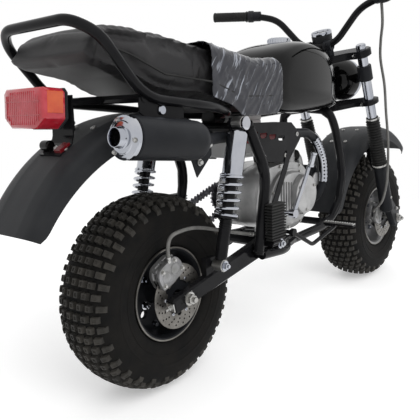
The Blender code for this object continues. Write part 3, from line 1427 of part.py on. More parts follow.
# Hose routes, in metres
REAR_HOSE_ROUTE = (
    (-0.042, -0.110, 0.335), (-0.052, -0.118, 0.375), (-0.040, -0.122, 0.400), (0.020, -0.118, 0.404),
    (0.080, -0.112, 0.394), (0.160, -0.114, 0.372), (0.235, -0.122, 0.352), (0.262, -0.131, 0.346))
FRONT_HOSE_ROUTE = (
    (0.830, -0.228, 0.930), (0.895, -0.195, 0.880), (0.944, -0.174, 0.826), (0.985, -0.172, 0.742),
    (1.003, -0.172, 0.651), (1.024, -0.172, 0.560), (1.030, -0.172, 0.470), (1.030, -0.168, 0.390),
    (1.040, -0.148, 0.325), (1.056, -0.112, 0.290), (1.090, -0.094, 0.276))


def make_rear_hose(neighbours):
    hose = tube(REAR_HOSE_ROUTE, HOSE_DIAMETER / 2, HOSE_DIAMETER * 2, 5, 1)
    return named(seated(hose, neighbours), "rear_brake_hose", "grey_hose")


def make_front_hose(neighbours):
    start = perch_middle(-1)
    hose = tube((start,) + FRONT_HOSE_ROUTE, HOSE_DIAMETER / 2, HOSE_DIAMETER * 3, 5, 1)
    return named(seated(hose, neighbours), "front_brake_hose", "grey_hose")


SPROCKET_SHARES = (0.330, 0.590)


CHAIN_LINKS = 48
CHAIN_STEPS = 10
INNER_LINK_SHARE = 0.70


def chain_route():
    """Closed line of the chain's inner edge round both sprockets, with room for the links' straight sides."""
    front = placed([SPROCKET_SHARES])[0]
    large = (REAR_SPROCKET_DIAMETER / 2 + CHAIN_CLEARANCE) / math.cos(math.radians(8))
    small = (FRONT_SPROCKET_DIAMETER / 2 + GAP) / math.cos(math.radians(18))
    between = front - REAR_AXLE
    run = math.atan2(between.z, between.x)
    spread = math.acos((large - small) / between.length)
    route = []
    for centre, radius, first, last in ((REAR_AXLE, large, run + spread, run - spread + 2 * math.pi),
                                        (front, small, run - spread, run + spread)):
        for step in range(CHAIN_LINKS + 1):
            angle = first + (last - first) * step / CHAIN_LINKS
            route.append(centre + Vector((math.cos(angle), 0, math.sin(angle))) * radius)
    return route


def even_places(points, count):
    """Evenly spaced points along a closed route."""
    points = points + points[:1]
    lengths = [(after - before).length for before, after in zip(points, points[1:])]
    pitch = sum(lengths) / count
    places = []
    walked = 0
    leg = 0
    for index in range(count):
        while walked + lengths[leg] < index * pitch:
            walked += lengths[leg]
            leg += 1
        places.append(points[leg].lerp(points[leg + 1], (index * pitch - walked) / lengths[leg]))
    return places


def make_drive_chain():
    """Roller chain's run round both sprockets as one closed band of outer and inner links."""
    places = even_places(chain_route(), CHAIN_LINKS * CHAIN_STEPS)
    rings = []
    for link in range(CHAIN_LINKS):
        half = CHAIN_WIDTH / 2 * (INNER_LINK_SHARE if link % 2 else 1)
        for step in (1, CHAIN_STEPS - 1):
            index = link * CHAIN_STEPS + step
            along = (places[(index + 1) % len(places)] - places[index - 1]).normalized()
            outward = Vector((along.z, 0, -along.x))
            ring = []
            for across, lift in ((-1, 0), (1, 0), (1, 1), (-1, 1)):
                place = places[index] + outward * lift * CHAIN_HEIGHT
                ring.append(place + sideways(CHAIN_PLANE + across * half))
            rings.append(ring)
    return named(bridged(rings, closed=True), "drive_chain", "spring_steel")


def front_sprocket():
    """Output shaft with the small sprocket, inside the chain's front bend."""
    front = placed([SPROCKET_SHARES])[0]
    half = SPROCKET_THICKNESS / 2
    start = Vector((front.x, CRANKCASE_WIDTH / 2 - OVERRUN, front.z))
    shaft = rod(start, Vector((front.x, CHAIN_PLANE + OVERRUN * 2, front.z)), AXLE_DIAMETER * 0.7)
    disc = rod(Vector((front.x, CHAIN_PLANE - half, front.z)), Vector((front.x, CHAIN_PLANE + half, front.z)),
               FRONT_SPROCKET_DIAMETER / 2 - GAP, 20)
    return fused([shaft, disc])


# Side stand
STAND_PIVOT_SHARES = (0.400, 0.403)
STAND_FOOT_SHARE = 0.445
STOWED = Vector((-1, 0.22, 0.03))
STAND_LUG_THICKNESS = 0.014
STAND_TAB_THICKNESS = 0.012


def floor_height(across):
    """Height of the leaning machine's floor, in the machine's own frame, at a sideways place."""
    flat_share = math.cos(LUG_HALF_ANGLE * LUG_TAPER_SHARE)
    lowest = min(-side * math.sin(LEAN) + (TYRE_RADIUS - radius * flat_share) * math.cos(LEAN)
                 for radius, side in crown_points())
    return (lowest + across * math.sin(LEAN)) / math.cos(LEAN)


def stand_pivot():
    outer = CRADLE_SPREAD / 2 + CRADLE_DIAMETER
    step = CRADLE_DIAMETER
    return placed([STAND_PIVOT_SHARES], outer)[0] + Vector((step, step, -step))


def stand_foot():
    return Vector((STAND_FOOT_SHARE * WHEELBASE, STAND_SPREAD, floor_height(STAND_SPREAD)))


def stand_axis():
    """Unit axis about which the stand folds from its parked place back along the frame."""
    return (stand_foot() - stand_pivot()).cross(STOWED).normalized()


def make_side_stand():
    """Leg, pivot eye and round foot; the foot's sole lies flat on the floor."""
    pivot = stand_pivot()
    foot = stand_foot()
    floor_up = Vector((0, -math.sin(LEAN), math.cos(LEAN)))
    sole = turned([(STAND_FOOT_DIAMETER / 2, 0), (STAND_FOOT_DIAMETER / 2, STAND_FOOT_THICKNESS)],
                  aimed(foot, floor_up), 16)
    ankle = foot + floor_up * STAND_FOOT_THICKNESS * 0.7
    axis = stand_axis()
    down = (ankle - pivot).normalized()
    knee = pivot + down * STAND_DIAMETER * 1.1
    leg = rod(ankle, knee, STAND_DIAMETER / 2, 8)
    half = STAND_LUG_THICKNESS / 2
    reach = (knee - pivot).length + STAND_DIAMETER * 0.6
    blade = box((0, 0, reach / 2), (STAND_DIAMETER * 1.2, half * 2, reach), aimed(pivot, down, axis))
    eye = rod(pivot - axis * half, pivot + axis * half, STAND_DIAMETER * 0.75, 12)
    reach = axis * STAND_LUG_THICKNESS
    hole = rod(pivot - reach, pivot + reach, LEVER_DIAMETER / 2 + RUNNING_GAP, 12)
    return named(cut(fused([leg, sole, blade, eye]), [hole]), "side_stand", "frame_paint")


def stand_bracket():
    """Pin and tab for the left lower rail that carry the side stand."""
    pivot = stand_pivot()
    axis = stand_axis()
    if axis.y < 0:
        axis = -axis
    inner = pivot - axis * (STAND_LUG_THICKNESS / 2 + RUNNING_GAP)
    outer = pivot + axis * (STAND_LUG_THICKNESS / 2 + RUNNING_GAP)
    pin = rod(inner - axis * OVERRUN, outer + axis * OVERRUN, LEVER_DIAMETER / 2, 12)
    rail = placed([STAND_PIVOT_SHARES], CRADLE_SPREAD / 2)[0]
    back = inner - axis * STAND_TAB_THICKNESS
    tab = rod(back, inner, STAND_DIAMETER * 0.75, 12)
    arm = rod(back + axis * OVERRUN, rail, STAND_DIAMETER * 0.4, 8)
    head = rod(outer, outer + axis * OVERRUN, LEVER_DIAMETER * 0.8, 12)
    return fused([tab, pin, arm, head])


def stance_matrix(objects):
    """Lean on the side stand, then put the origin at the middle of the bounding box's floor."""
    lean = Matrix.Rotation(-LEAN, 4, "X")
    points = [lean @ vertex.co for made in objects for vertex in made.data.vertices]
    low = [min(point[axis] for point in points) for axis in range(3)]
    high = [max(point[axis] for point in points) for axis in range(3)]
    shift = Vector((-(low[0] + high[0]) / 2, -(low[1] + high[1]) / 2, -low[2]))
    return Matrix.Translation(shift) @ lean


def empty(name, place, parent=None):
    guide = bpy.data.objects.new(name, None)
    bpy.context.scene.collection.objects.link(guide)
    guide.empty_display_size = AXLE_DIAMETER
    guide.parent = parent
    guide.location = place
    return guide


def hang(objects, guide, place):
    """Parent the objects to a guide that sits at the place on their joint's axis."""
    for made in objects:
        made.data.transform(Matrix.Translation(-place))
        made.parent = guide


def build():
    clear_scene()
    spine = make_head_and_spine()
    cradle_left = make_cradle("cradle_left", [cradle_tube(1), stand_bracket()], [spine])
    cradle_right = make_cradle("cradle_right", [cradle_tube(-1)] + crossbars(), [spine, cradle_left])
    cradles = [cradle_right, cradle_left]
    uprights = make_uprights(cradles + [spine])
    rail = make_seat_rail([spine, uprights])
    arm_right = make_swingarm("swingarm_right", -1, False)
    arm_left = make_swingarm("swingarm_left", 1, True)
    shock_right = make_shock("shock_right", -1)
    shock_left = make_shock("shock_left", 1)
    rear_axle = named(axle_bar(REAR_AXLE, ARM_OUTER), "rear_axle", "zinc_steel")
    chain = make_drive_chain()
    case = make_crankcase(cradles)
    cover_right = make_engine_cover("clutch_cover", -1, cradles)
    cover_left = make_engine_cover("flywheel_cover", 1, cradles + [case, chain])
    cylinder = make_cylinder([case] + cradles)
    carburettor = make_carburettor([cylinder, case, spine])
    pipe = make_exhaust_pipe([cylinder, cradle_right, uprights])
    shield = make_heat_shield([pipe])
    muffler = make_muffler([pipe, uprights, rail])
    cap = make_muffler_cap()
    kick = make_kick_lever([case, cover_right, cradle_right])
    gear = make_gear_lever([case, cover_left, cradle_left])
    peg_right = make_footpeg(-1)
    peg_left = make_footpeg(1)
    pedal = make_brake_pedal([uprights, cradle_right, cover_right])
    plate_right = make_side_plate(-1, cradles + [uprights, rail, spine, pipe])
    plate_left = make_side_plate(1, cradles + [uprights, rail, spine])
    battery = make_tool_box([spine, carburettor, pipe, uprights])
    tank = make_fuel_tank([spine] + cradles)
    seat = make_seat([tank, rail, spine, uprights])
    guard = make_rear_mudguard([rail, spine, uprights, seat, battery])
    lamp = make_tail_lamp()
    bracket = make_lamp_bracket([lamp, rail, guard, seat])
    caliper = make_caliper("rear_caliper", REAR_AXLE, REAR_CALIPER_ANGLE, [arm_right], ARM_INNER)
    hose = make_rear_hose([caliper, uprights, shock_right, arm_right])
    fixed = [spine, cradle_right, cradle_left, uprights, rail, arm_right, arm_left, shock_right, shock_left]
    fixed += [rear_axle, case, cover_right, cover_left, cylinder, carburettor, pipe, shield, muffler, cap]
    fixed += [kick, gear, peg_right, peg_left, pedal, plate_right, plate_left, battery, tank, seat, guard]
    fixed += [lamp, bracket, caliper, hose, chain]

    clamps = make_clamps(HEAD_TUBE_LENGTH)
    legs = [make_fork_leg(side) for side in (-1, 1)]
    front_axle = named(axle_bar(FRONT_AXLE, LUG_OUTER), "front_axle", "zinc_steel")
    bar = make_handlebar(clamps)
    grips = [make_grip(side) for side in (-1, 1)]
    headlamp = make_headlamp(clamps)
    meter = make_speedometer(clamps, bar)
    front_guard = make_front_mudguard(legs)
    front_caliper = make_caliper("front_caliper", FRONT_AXLE, FRONT_CALIPER_ANGLE, legs)
    front_hose = make_front_hose([front_caliper, clamps, bar] + legs)
    steered = legs + grips + [clamps, front_axle, bar, headlamp, meter]
    steered += [front_guard, front_caliper, front_hose]

    front_wheel = [make_tyre("front_tyre", FRONT_AXLE), make_rim("front_rim", FRONT_AXLE),
                   make_brake_disc("front_brake_disc", FRONT_AXLE, -1)]
    rear_wheel = [make_tyre("rear_tyre", REAR_AXLE), make_rim("rear_rim", REAR_AXLE),
                  make_brake_disc("rear_brake_disc", REAR_AXLE, -1), make_sprocket()]
    stand = [make_side_stand()]

    stance = empty("stance", (0, 0, 0))
    matrix = stance_matrix(fixed + steered + front_wheel + rear_wheel + stand)
    steering = empty("steering_axis", HEAD_BASE, stance)
    hang(fixed, stance, Vector((0, 0, 0)))
    hang(steered, steering, HEAD_BASE)
    hang(front_wheel, empty("front_axle_centre", FRONT_AXLE - HEAD_BASE, steering), FRONT_AXLE)
    hang(rear_wheel, empty("rear_axle_centre", REAR_AXLE, stance), REAR_AXLE)
    hang(stand, empty("stand_pivot", stand_pivot(), stance), stand_pivot())
    stance.matrix_world = matrix


build()
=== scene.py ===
"""Light motorcycle: detailed pieces, finishes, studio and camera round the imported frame."""

import json
from math import acos, atan2, copysign, cos, exp, pi, radians, sin, sqrt

import bmesh
import bpy
from bpy.props import BoolProperty, FloatProperty, FloatVectorProperty, IntProperty, PointerProperty
from mathutils import Matrix, Vector, noise


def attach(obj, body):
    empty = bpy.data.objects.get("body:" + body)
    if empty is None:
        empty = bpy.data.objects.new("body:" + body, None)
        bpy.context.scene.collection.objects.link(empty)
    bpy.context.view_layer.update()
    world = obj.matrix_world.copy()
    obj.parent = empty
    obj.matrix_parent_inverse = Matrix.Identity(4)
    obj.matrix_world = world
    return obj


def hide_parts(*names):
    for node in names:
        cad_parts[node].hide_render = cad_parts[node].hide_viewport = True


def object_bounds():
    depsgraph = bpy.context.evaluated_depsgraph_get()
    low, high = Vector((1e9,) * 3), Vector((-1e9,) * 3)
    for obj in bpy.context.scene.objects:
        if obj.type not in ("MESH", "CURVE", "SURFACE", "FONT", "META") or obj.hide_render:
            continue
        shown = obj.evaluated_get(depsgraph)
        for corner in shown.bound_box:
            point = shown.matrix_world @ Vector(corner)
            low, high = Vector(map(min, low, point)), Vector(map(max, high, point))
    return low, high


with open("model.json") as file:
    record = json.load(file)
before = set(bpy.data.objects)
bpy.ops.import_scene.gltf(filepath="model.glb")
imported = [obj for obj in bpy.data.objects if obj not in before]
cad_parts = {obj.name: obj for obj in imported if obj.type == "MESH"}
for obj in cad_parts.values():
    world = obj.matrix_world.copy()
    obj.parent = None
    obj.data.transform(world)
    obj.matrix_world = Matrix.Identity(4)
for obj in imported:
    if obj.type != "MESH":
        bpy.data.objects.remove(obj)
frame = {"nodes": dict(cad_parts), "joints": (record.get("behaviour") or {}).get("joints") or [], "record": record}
CAD_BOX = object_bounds()

bl_info = {"name": "Light motorcycle", "version": (1, 0, 0), "blender": (4, 5, 0),
    "location": "View3D > Sidebar > Motorcycle",
    "description": "Builds the visible pieces of a light motorcycle round its solid frame", "category": "Object",}


def vec(x, y, z):
    return Vector((x, y, z))


def at(x, y, z):
    """A vector in metres, from millimetres."""
    return Vector((x / 1000, y / 1000, z / 1000))


def mm(*numbers):
    """Pairs of lengths in metres, from numbers in millimetres."""
    lengths = [number / 1000 for number in numbers]
    return list(zip(lengths[::2], lengths[1::2]))


# The machine's own upright frame: +X forward, +Y left, origin under the rear axle, in metres
WHEELBASE = 1.18
FRAME_HEIGHT = 0.7
LEAN = radians(5.0)
TYRE_RADIUS = 0.241
TYRE_HALF = 0.0825
RIM_RADIUS = 0.115
RIM_HALF = 0.07
AXLE_RADIUS = 0.0075
REAR_AXLE = vec(0, 0, TYRE_RADIUS)
FRONT_AXLE = vec(WHEELBASE, 0, TYRE_RADIUS)
RAKE = radians(22.5)
FORK_UP = vec(-sin(RAKE), 0, cos(RAKE))
FORK_AHEAD = vec(cos(RAKE), 0, sin(RAKE))
HEAD_BASE = vec(0.772 * WHEELBASE, 0, 0.986 * FRAME_HEIGHT)
FORK_HALF = 0.133
FORK_OFFSET = 0.038
ARM_OUTER = 0.1295
SHOCK_HALF = 0.152
SKIN = 0.0003
SIDES = {-1: "right", 1: "left"}


def joint_place(name):
    """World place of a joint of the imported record."""
    return Vector(next(joint["pos_m"] for joint in frame["joints"] if joint["name"] == name))


BODIES = frame["record"]["behaviour"]["bodies"]
SLOTS = {entry["node"]: entry["material_slot"] for entry in frame["record"]["subparts"]}
LEAN_TURN = Matrix.Rotation(-LEAN, 4, "X")
STANCE = Matrix.Translation(joint_place("rear_wheel_spin") - LEAN_TURN @ REAR_AXLE) @ LEAN_TURN


# Shapes. Each piece is built up in this one, which is empty again once the piece is made
shape = bmesh.new()


def around(count, phase=0):
    """Angles of places spread evenly round a circle."""
    return [2 * pi * (index + phase) / count for index in range(count)]


def aimed(origin, direction, side=vec(0, 1, 0)):
    """Matrix that takes local Z to the direction and local Y near the side."""
    z_axis = Vector(direction).normalized()
    x_axis = Vector(side).cross(z_axis)
    if x_axis.length < 0.01:
        x_axis = vec(1, 0, 0).cross(z_axis)
    x_axis.normalize()
    turn = Matrix((x_axis, z_axis.cross(x_axis), z_axis)).transposed()
    return Matrix.Translation(Vector(origin)) @ turn.to_4x4()


def skin(rings, closed=False, caps=True, wrap=True):
    """Add a skin through rings, or open rows, that have the same number of points."""
    loops = [[shape.verts.new(point) for point in ring] for ring in rings]
    pairs = list(zip(loops, loops[1:]))
    if closed:
        pairs.append((loops[-1], loops[0]))
    for near, far in pairs:
        for index in range(len(near) if wrap else len(near) - 1):
            after = (index + 1) % len(near)
            shape.faces.new((near[index], near[after], far[after], far[index]))
    if caps and not closed:
        shape.faces.new(list(reversed(loops[0])))
        shape.faces.new(loops[-1])


def spokes(profile, matrix, sides):
    return [[matrix @ (vec(cos(angle), sin(angle), 0) * radius + vec(0, 0, along)) for radius, along in profile]
        for angle in around(sides)]


def turned(profile, matrix, sides=32):
    """Add a solid of revolution from (radius, along) points about the matrix's Z axis."""
    skin(list(zip(*spokes(profile, matrix, sides))))


def ringed(profile, matrix, sides=32):
    """Add a ring: a closed outline of (radius, along) points turned about the matrix's Z axis."""
    skin(spokes(profile, matrix, sides), closed=True)


def ribs(count, pitch, pairs):
    """The (radius, along) points of a rib, repeated one pitch after the other."""
    return [(radius, rib * pitch + along) for rib in range(count) for radius, along in pairs]


def rod(start, end, radius, sides=20):
    start, end = Vector(start), Vector(end)
    turned([(radius, 0), (radius, (end - start).length)], aimed(start, end - start), sides)


def crossbar(middle, half, radius, sides=24):
    """Add a round bar that lies across the machine."""
    rod(middle - vec(0, half, 0), middle + vec(0, half, 0), radius, sides)


def rounded(points, bend, steps=6):
    """The route with an arc-like bend at each inner point."""
    points = [Vector(point) for point in points]
    route = [points[0]]
    for before, corner, after in zip(points, points[1:], points[2:]):
        back, ahead = before - corner, after - corner
        reach = min(bend, back.length * 0.45, ahead.length * 0.45)
        first, last = corner + back.normalized() * reach, corner + ahead.normalized() * reach
        for step in range(steps + 1):
            share = step / steps
            route.append(first.lerp(corner, share).lerp(corner.lerp(last, share), share))
    route.append(points[-1])
    return route


def tube(points, radius, bend=0.04, sides=20, steps=6, section=None, radii=None):
    """Add a bent round bar, or a bar of the given section, along the points."""
    route = rounded(points, bend, steps) if bend else [Vector(point) for point in points]
    directions = [(after - before).normalized() for before, after in zip(route, route[1:])]
    tangents = [directions[0]]
    tangents += [(one + two).normalized() for one, two in zip(directions, directions[1:])]
    tangents.append(directions[-1])
    side = vec(0, 1, 0)
    if abs(tangents[0].dot(side)) > 0.9:
        side = vec(0, 0, 1)
    if section is None:
        section = [(radius * cos(angle), radius * sin(angle)) for angle in around(sides)]
    rings = []
    for index, (place, tangent) in enumerate(zip(route, tangents)):
        side = (side - tangent * side.dot(tangent)).normalized()
        up = tangent.cross(side)
        grow = radii(index / (len(route) - 1)) if radii else 1
        rings.append([place + side * across * grow + up * above * grow for across, above in section])
    skin(rings)


def prism(outline, thickness, matrix):
    """Add a flat outline extruded evenly to both sides of the matrix's XY plane."""
    half = thickness / 2
    skin([[matrix @ vec(across, above, depth) for across, above in outline] for depth in (-half, half)])


def side_view(plane):
    """Matrix that lays a flat (x, z) outline in the machine's side view at y = plane."""
    return Matrix(((1, 0, 0, 0), (0, 0, -1, plane), (0, 1, 0, 0), (0, 0, 0, 1)))


def block(centre, size, matrix=None):
    made = bmesh.ops.create_cube(shape, size=1)["verts"]
    bmesh.ops.scale(shape, vec=size, verts=made)
    bmesh.ops.translate(shape, vec=centre, verts=made)
    if matrix:
        bmesh.ops.transform(shape, matrix=matrix, verts=made)


def hex_bolt(place, direction, across=0.012, height=0.006, washer=0.0016, stud=0):
    """Add a hexagon head on its washer, with a stud's end if it is a nut."""
    matrix = aimed(place, direction)
    radius = across / 2
    if washer:
        turned([(radius * 1.35, 0), (radius * 1.35, washer)], matrix, 20)
    turned([(radius, washer), (radius, washer + height * 0.8), (radius * 0.84, washer + height)], matrix, 6)
    if stud:
        turned([(radius * 0.5, washer), (radius * 0.5, washer + height + stud)], matrix, 12)


def screw(place, direction, across=0.009, height=0.003):
    """Add a low round screw head with a socket."""
    radius = across / 2
    turned([(radius, 0), (radius, height * 0.6), (radius * 0.8, height), (radius * 0.45, height),
        (radius * 0.4, height * 0.35)], aimed(place, direction), 16)


def placed(shares, plane=0):
    return [vec(along * WHEELBASE, plane, up * FRAME_HEIGHT) for along, up in shares]


def flat(shares):
    return [(along * WHEELBASE, up * FRAME_HEIGHT) for along, up in shares]


def curve_steps(before, start, end, after, steps):
    """Points of the smooth curve from start to end."""
    for share in (step / steps for step in range(steps)):
        yield tuple(0.5 * (2 * b + (c - a) * share + (2 * a - 5 * b + 4 * c - d) * share ** 2
            + (3 * b - a - 3 * c + d) * share ** 3) for a, b, c, d in zip(before, start, end, after))


def smooth_outline(points, steps=6):
    """A closed curve through flat points."""
    count = len(points)
    route = []
    for index in range(count):
        route += curve_steps(*(points[(index + offset) % count] for offset in (-1, 0, 1, 2)), steps)
    return route


def smooth_line(points, steps=8):
    """An open curve through points of any size."""
    points = [tuple(point) for point in points]
    ends = [points[0]] + points + [points[-1]]
    route = []
    for four in zip(ends, ends[1:], ends[2:], ends[3:]):
        route += curve_steps(*four, steps)
    return route + [points[-1]]


# Finishes: base colour, second colour, roughness from and to, metallic, grain scale and depth, stain scale, coat,
# specular
FINISHES = {"frame_paint": ((0.006, 0.006, 0.007), (0.013, 0.013, 0.014), 0.08, 0.2, 0, 900, 0.02, 14, 0, 0.1),
    "black_plastic": ((0.018, 0.019, 0.021), (0.03, 0.031, 0.033), 0.4, 0.56, 0, 1400, 0.1, 9, 0, 0.13),
    "gloss_black": ((0.002, 0.002, 0.002), (0.004, 0.004, 0.004), 0.05, 0.1, 0, 60, 0.004, 7, 0, 0.2),
    "tyre_rubber": ((0.006, 0.006, 0.006), (0.013, 0.012, 0.011), 0.62, 0.88, 0, 700, 0.22, 22, 0, 0.1),
    # lit_tread_top: a lighter, brownish copy of the tyre rubber; painted highlight on the knobs' tops
    "lit_tread_top": ((0.018, 0.017, 0.015), (0.048, 0.044, 0.038), 0.6, 0.85, 0, 600, 0.3, 30, 0, 0.35),
    "black_rubber": ((0.008, 0.008, 0.008), (0.018, 0.018, 0.017), 0.5, 0.75, 0, 900, 0.12, 18, 0, 0.3),
    "chrome": ((0.48, 0.49, 0.52), (0.33, 0.35, 0.4), 0.06, 0.15, 1, 300, 0.006, 12, 0, 0.5),
    "cast_aluminium": ((0.5, 0.5, 0.5), (0.36, 0.36, 0.36), 0.32, 0.5, 0.85, 1500, 0.16, 24, 0, 0.5),
    "zinc_steel": ((0.5, 0.5, 0.49), (0.36, 0.35, 0.33), 0.28, 0.46, 1, 1100, 0.05, 30, 0, 0.5),
    "spring_steel": ((0.36, 0.36, 0.39), (0.24, 0.23, 0.25), 0.24, 0.42, 0.95, 1000, 0.04, 26, 0, 0.5),
    "brake_steel": ((0.21, 0.2, 0.185), (0.13, 0.125, 0.115), 0.3, 0.5, 0.9, 1100, 0.05, 34, 0, 0.4),
    "caliper_metal": ((0.34, 0.34, 0.35), (0.21, 0.21, 0.2), 0.34, 0.52, 0.7, 1500, 0.16, 30, 0, 0.4),
    "seat_vinyl": ((0.014, 0.014, 0.015), (0.027, 0.026, 0.027), 0.36, 0.55, 0, 1600, 0.2, 12, 0, 0.25),
    # clear_film: a dark film over the seat; its second colour paints white highlight streaks, standing in for
    # reflections on the film
    "clear_film": ((0.02, 0.021, 0.028), (0.34, 0.36, 0.41), 0.1, 0.22, 0, 260, 0.1, 9, 0, 0.4),
    # red_lens: its lighter pink-red second colour paints highlights inside the lens, in patches
    "red_lens": ((0.34, 0.004, 0.012), (0.52, 0.04, 0.06), 0.05, 0.12, 0, 160, 0.03, 40, 0.5, 0.5),
    "red_plastic": ((0.34, 0.008, 0.016), (0.26, 0.008, 0.013), 0.22, 0.38, 0, 900, 0.05, 12, 0, 0.4),
    "dark_red": ((0.1, 0.003, 0.006), (0.16, 0.006, 0.01), 0.15, 0.25, 0, 900, 0.05, 12, 0, 0.4),
    "grey_hose": ((0.115, 0.113, 0.108), (0.18, 0.178, 0.168), 0.35, 0.55, 0.1, 1500, 0.2, 40, 0, 0.5),
    "black_muffler": ((0.01, 0.011, 0.013), (0.02, 0.021, 0.024), 0.3, 0.46, 0, 1300, 0.08, 10, 0, 0.1),
    "amber_lens": ((0.56, 0.05, 0.004), (0.66, 0.1, 0.012), 0.06, 0.14, 0, 160, 0.03, 30, 0.5, 0.5),
    "clear_lens": ((0.62, 0.64, 0.66), (0.5, 0.52, 0.55), 0.04, 0.1, 0, 200, 0.02, 20, 1, 0.5),
    "white_plastic": ((0.55, 0.55, 0.55), (0.45, 0.45, 0.45), 0.3, 0.45, 0, 900, 0.03, 16, 0, 0.5),
    # dark_bore: near black; painted shade in the heat guard's holes and the muffler's outlet, and the real black of
    # the dial's print and the brake pads
    "dark_bore": ((0.004, 0.004, 0.004), (0.01, 0.009, 0.008), 0.7, 0.9, 0, 400, 0.1, 20, 0, 0.2),}


def add_node(tree, kind, operation=None, **values):
    """Add a shader node and set its sockets, with an underscore for each space in their names."""
    made = tree.nodes.new("ShaderNode" + kind)
    if operation:
        made.operation = operation
    set_sockets(made, **values)
    return made


def set_sockets(node, **values):
    for name, value in values.items():
        node.inputs[name.replace("_", " ")].default_value = value


def link_all(tree, *rows):
    for source, output, target, socket in rows:
        tree.links.new(source.outputs[output], target.inputs[socket])


def finish(slot):
    """The procedural material of a finish, made once."""
    made = bpy.data.materials.get("finish_" + slot)
    if made:
        return made
    base, second, smooth, rough, metal, grain_scale, grain_depth, stain_scale, coat, specular = FINISHES[slot]
    base = getattr(bpy.context.scene.motorcycle_colours, slot, base)
    film = slot == "clear_film"
    made = bpy.data.materials.new("finish_" + slot)
    made.use_nodes = True
    tree = made.node_tree
    shader = tree.nodes["Principled BSDF"]
    set_sockets(shader, Metallic=metal, Coat_Weight=coat, Coat_Roughness=0.05, Specular_IOR_Level=specular)
    place = add_node(tree, "TexCoord")
    stain = add_node(tree, "TexNoise", Scale=stain_scale, Detail=6, Distortion=0.9 if film else 0)
    grain = add_node(tree, "TexNoise", Scale=grain_scale, Detail=3)
    ramp = add_node(tree, "ValToRGB")
    stops = zip(ramp.color_ramp.elements, (0.57, 0.69) if film else (0.35, 0.7), (base, second))
    for element, position, colour in stops:
        element.position, element.color = position, (*colour, 1)
    spread = add_node(tree, "MapRange", To_Min=smooth, To_Max=rough)
    bump = add_node(tree, "Bump", Strength=min(1, grain_depth * 4), Distance=0.0006)
    link_all(tree, (place, "Object", stain, "Vector"), (place, "Object", grain, "Vector"),
        (stain, "Fac", ramp, "Fac"), (ramp, "Color", shader, "Base Color"), (stain, "Fac", spread, "Value"),
        (spread, "Result", shader, "Roughness"), (grain, "Fac", bump, "Height"), (bump, "Normal", shader, "Normal"))
    if film:  # painted highlights: white streaks along creases that run across the seat
        highlight_streaks = add_node(tree, "Mapping")
        highlight_streaks.vector_type = "TEXTURE"
        set_sockets(highlight_streaks, Rotation=(0, radians(33), 0), Scale=(0.1, 0.5, 0.75))
        link_all(tree, (place, "Object", highlight_streaks, "Vector"), (highlight_streaks, "Vector", stain, "Vector"))
    return made


def new_object(name, data):
    made = bpy.data.objects.new(name, data)
    bpy.context.scene.collection.objects.link(made)
    return made


def mesh_object(name, matrix=Matrix()):
    """Make an object from the shape, and empty the shape for the next one."""
    bmesh.ops.recalc_face_normals(shape, faces=shape.faces)
    bmesh.ops.transform(shape, matrix=matrix, verts=shape.verts)
    mesh = bpy.data.meshes.new(name)
    shape.to_mesh(mesh)
    shape.clear()
    return new_object(name, mesh)


def piece(name, body, slot, look=None, replaces=(), smooth=35, bevel=0):
    """Make a piece from the shape in the upright frame, and set it in the leaning machine."""
    made = mesh_object(name, STANCE)
    made.data.materials.append(finish(look or slot))
    made.data.shade_smooth()
    made.data.set_sharp_from_angle(angle=radians(smooth))
    if bevel:
        modifier = made.modifiers.new("soft_edges", "BEVEL")
        modifier.width = bevel
        modifier.segments = 2
        modifier.limit_method = "ANGLE"
        modifier.angle_limit = radians(smooth)
        modifier.harden_normals = True
    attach(made, body)
    if replaces:
        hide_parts(*replaces)
    return made


def stand_in(name, node, look=None, smooth=35, bevel=0):
    """Make a piece that stands for a solid: it rides on the solid's body and takes its slot."""
    body = next(body for body, nodes in BODIES.items() if node in nodes)
    return piece(name, body, SLOTS[node], look, [node], smooth, bevel)


def share_at(table, place):
    """Read a table of (place, value, ...) rows between its rows."""
    if place <= table[0][0]:
        return table[0][1:]
    for low, high in zip(table, table[1:]):
        if place <= high[0]:
            share = (place - low[0]) / (high[0] - low[0])
            return tuple(a + (b - a) * share for a, b in zip(low[1:], high[1:]))
    return table[-1][1:]


def wheel_axes(axle):
    """Matrix whose Z axis is the axle, pointing left."""
    return Matrix.Translation(axle) @ Matrix(((0, 1, 0, 0), (0, 0, 1, 0), (1, 0, 0, 0), (0, 0, 0, 1)))


# Tyres. Each row: place from the middle (0) to the shoulder (1), knob top radius and sideways share, carcass the same
TREAD = ((0, 1, 0, 0.955, 0), (0.14, 1, 0.12, 0.955, 0.12), (0.42, 0.993, 0.36, 0.95, 0.37),
    (0.8, 0.962, 0.7, 0.924, 0.69), (1, 0.905, 0.9, 0.88, 0.875), (1.16, 0.855, 0.965, 0.835, 0.945))
SIDEWALL = ((0.482, 0.76), (0.498, 0.85), (0.53, 0.905), (0.575, 0.935), (0.6, 0.95), (0.606, 0.966), (0.614, 0.966),
    (0.62, 0.958), (0.66, 0.985), (0.7, 0.993), (0.706, 1), (0.716, 1), (0.722, 0.992), (0.78, 0.978))
KNOB_ROWS = ((-0.99, -0.66, -0.33, 0, 0.33, 0.66, 0.99), (-0.84, -0.5, -0.165, 0.165, 0.5, 0.84))


def tread_point(place, top):
    """Radius and sideways distance of the tread at a place, on the knobs' tops or on the carcass."""
    row = share_at(TREAD, abs(place))
    radius, across = (row[0], row[1]) if top else (row[2], row[3])
    return radius * TYRE_RADIUS, copysign(across * TYRE_HALF, place)


def spun(axle, radius, across, angle):
    """Point of a wheel by its radius, sideways distance and angle from straight up."""
    return axle + vec(sin(angle) * radius, across, cos(angle) * radius)


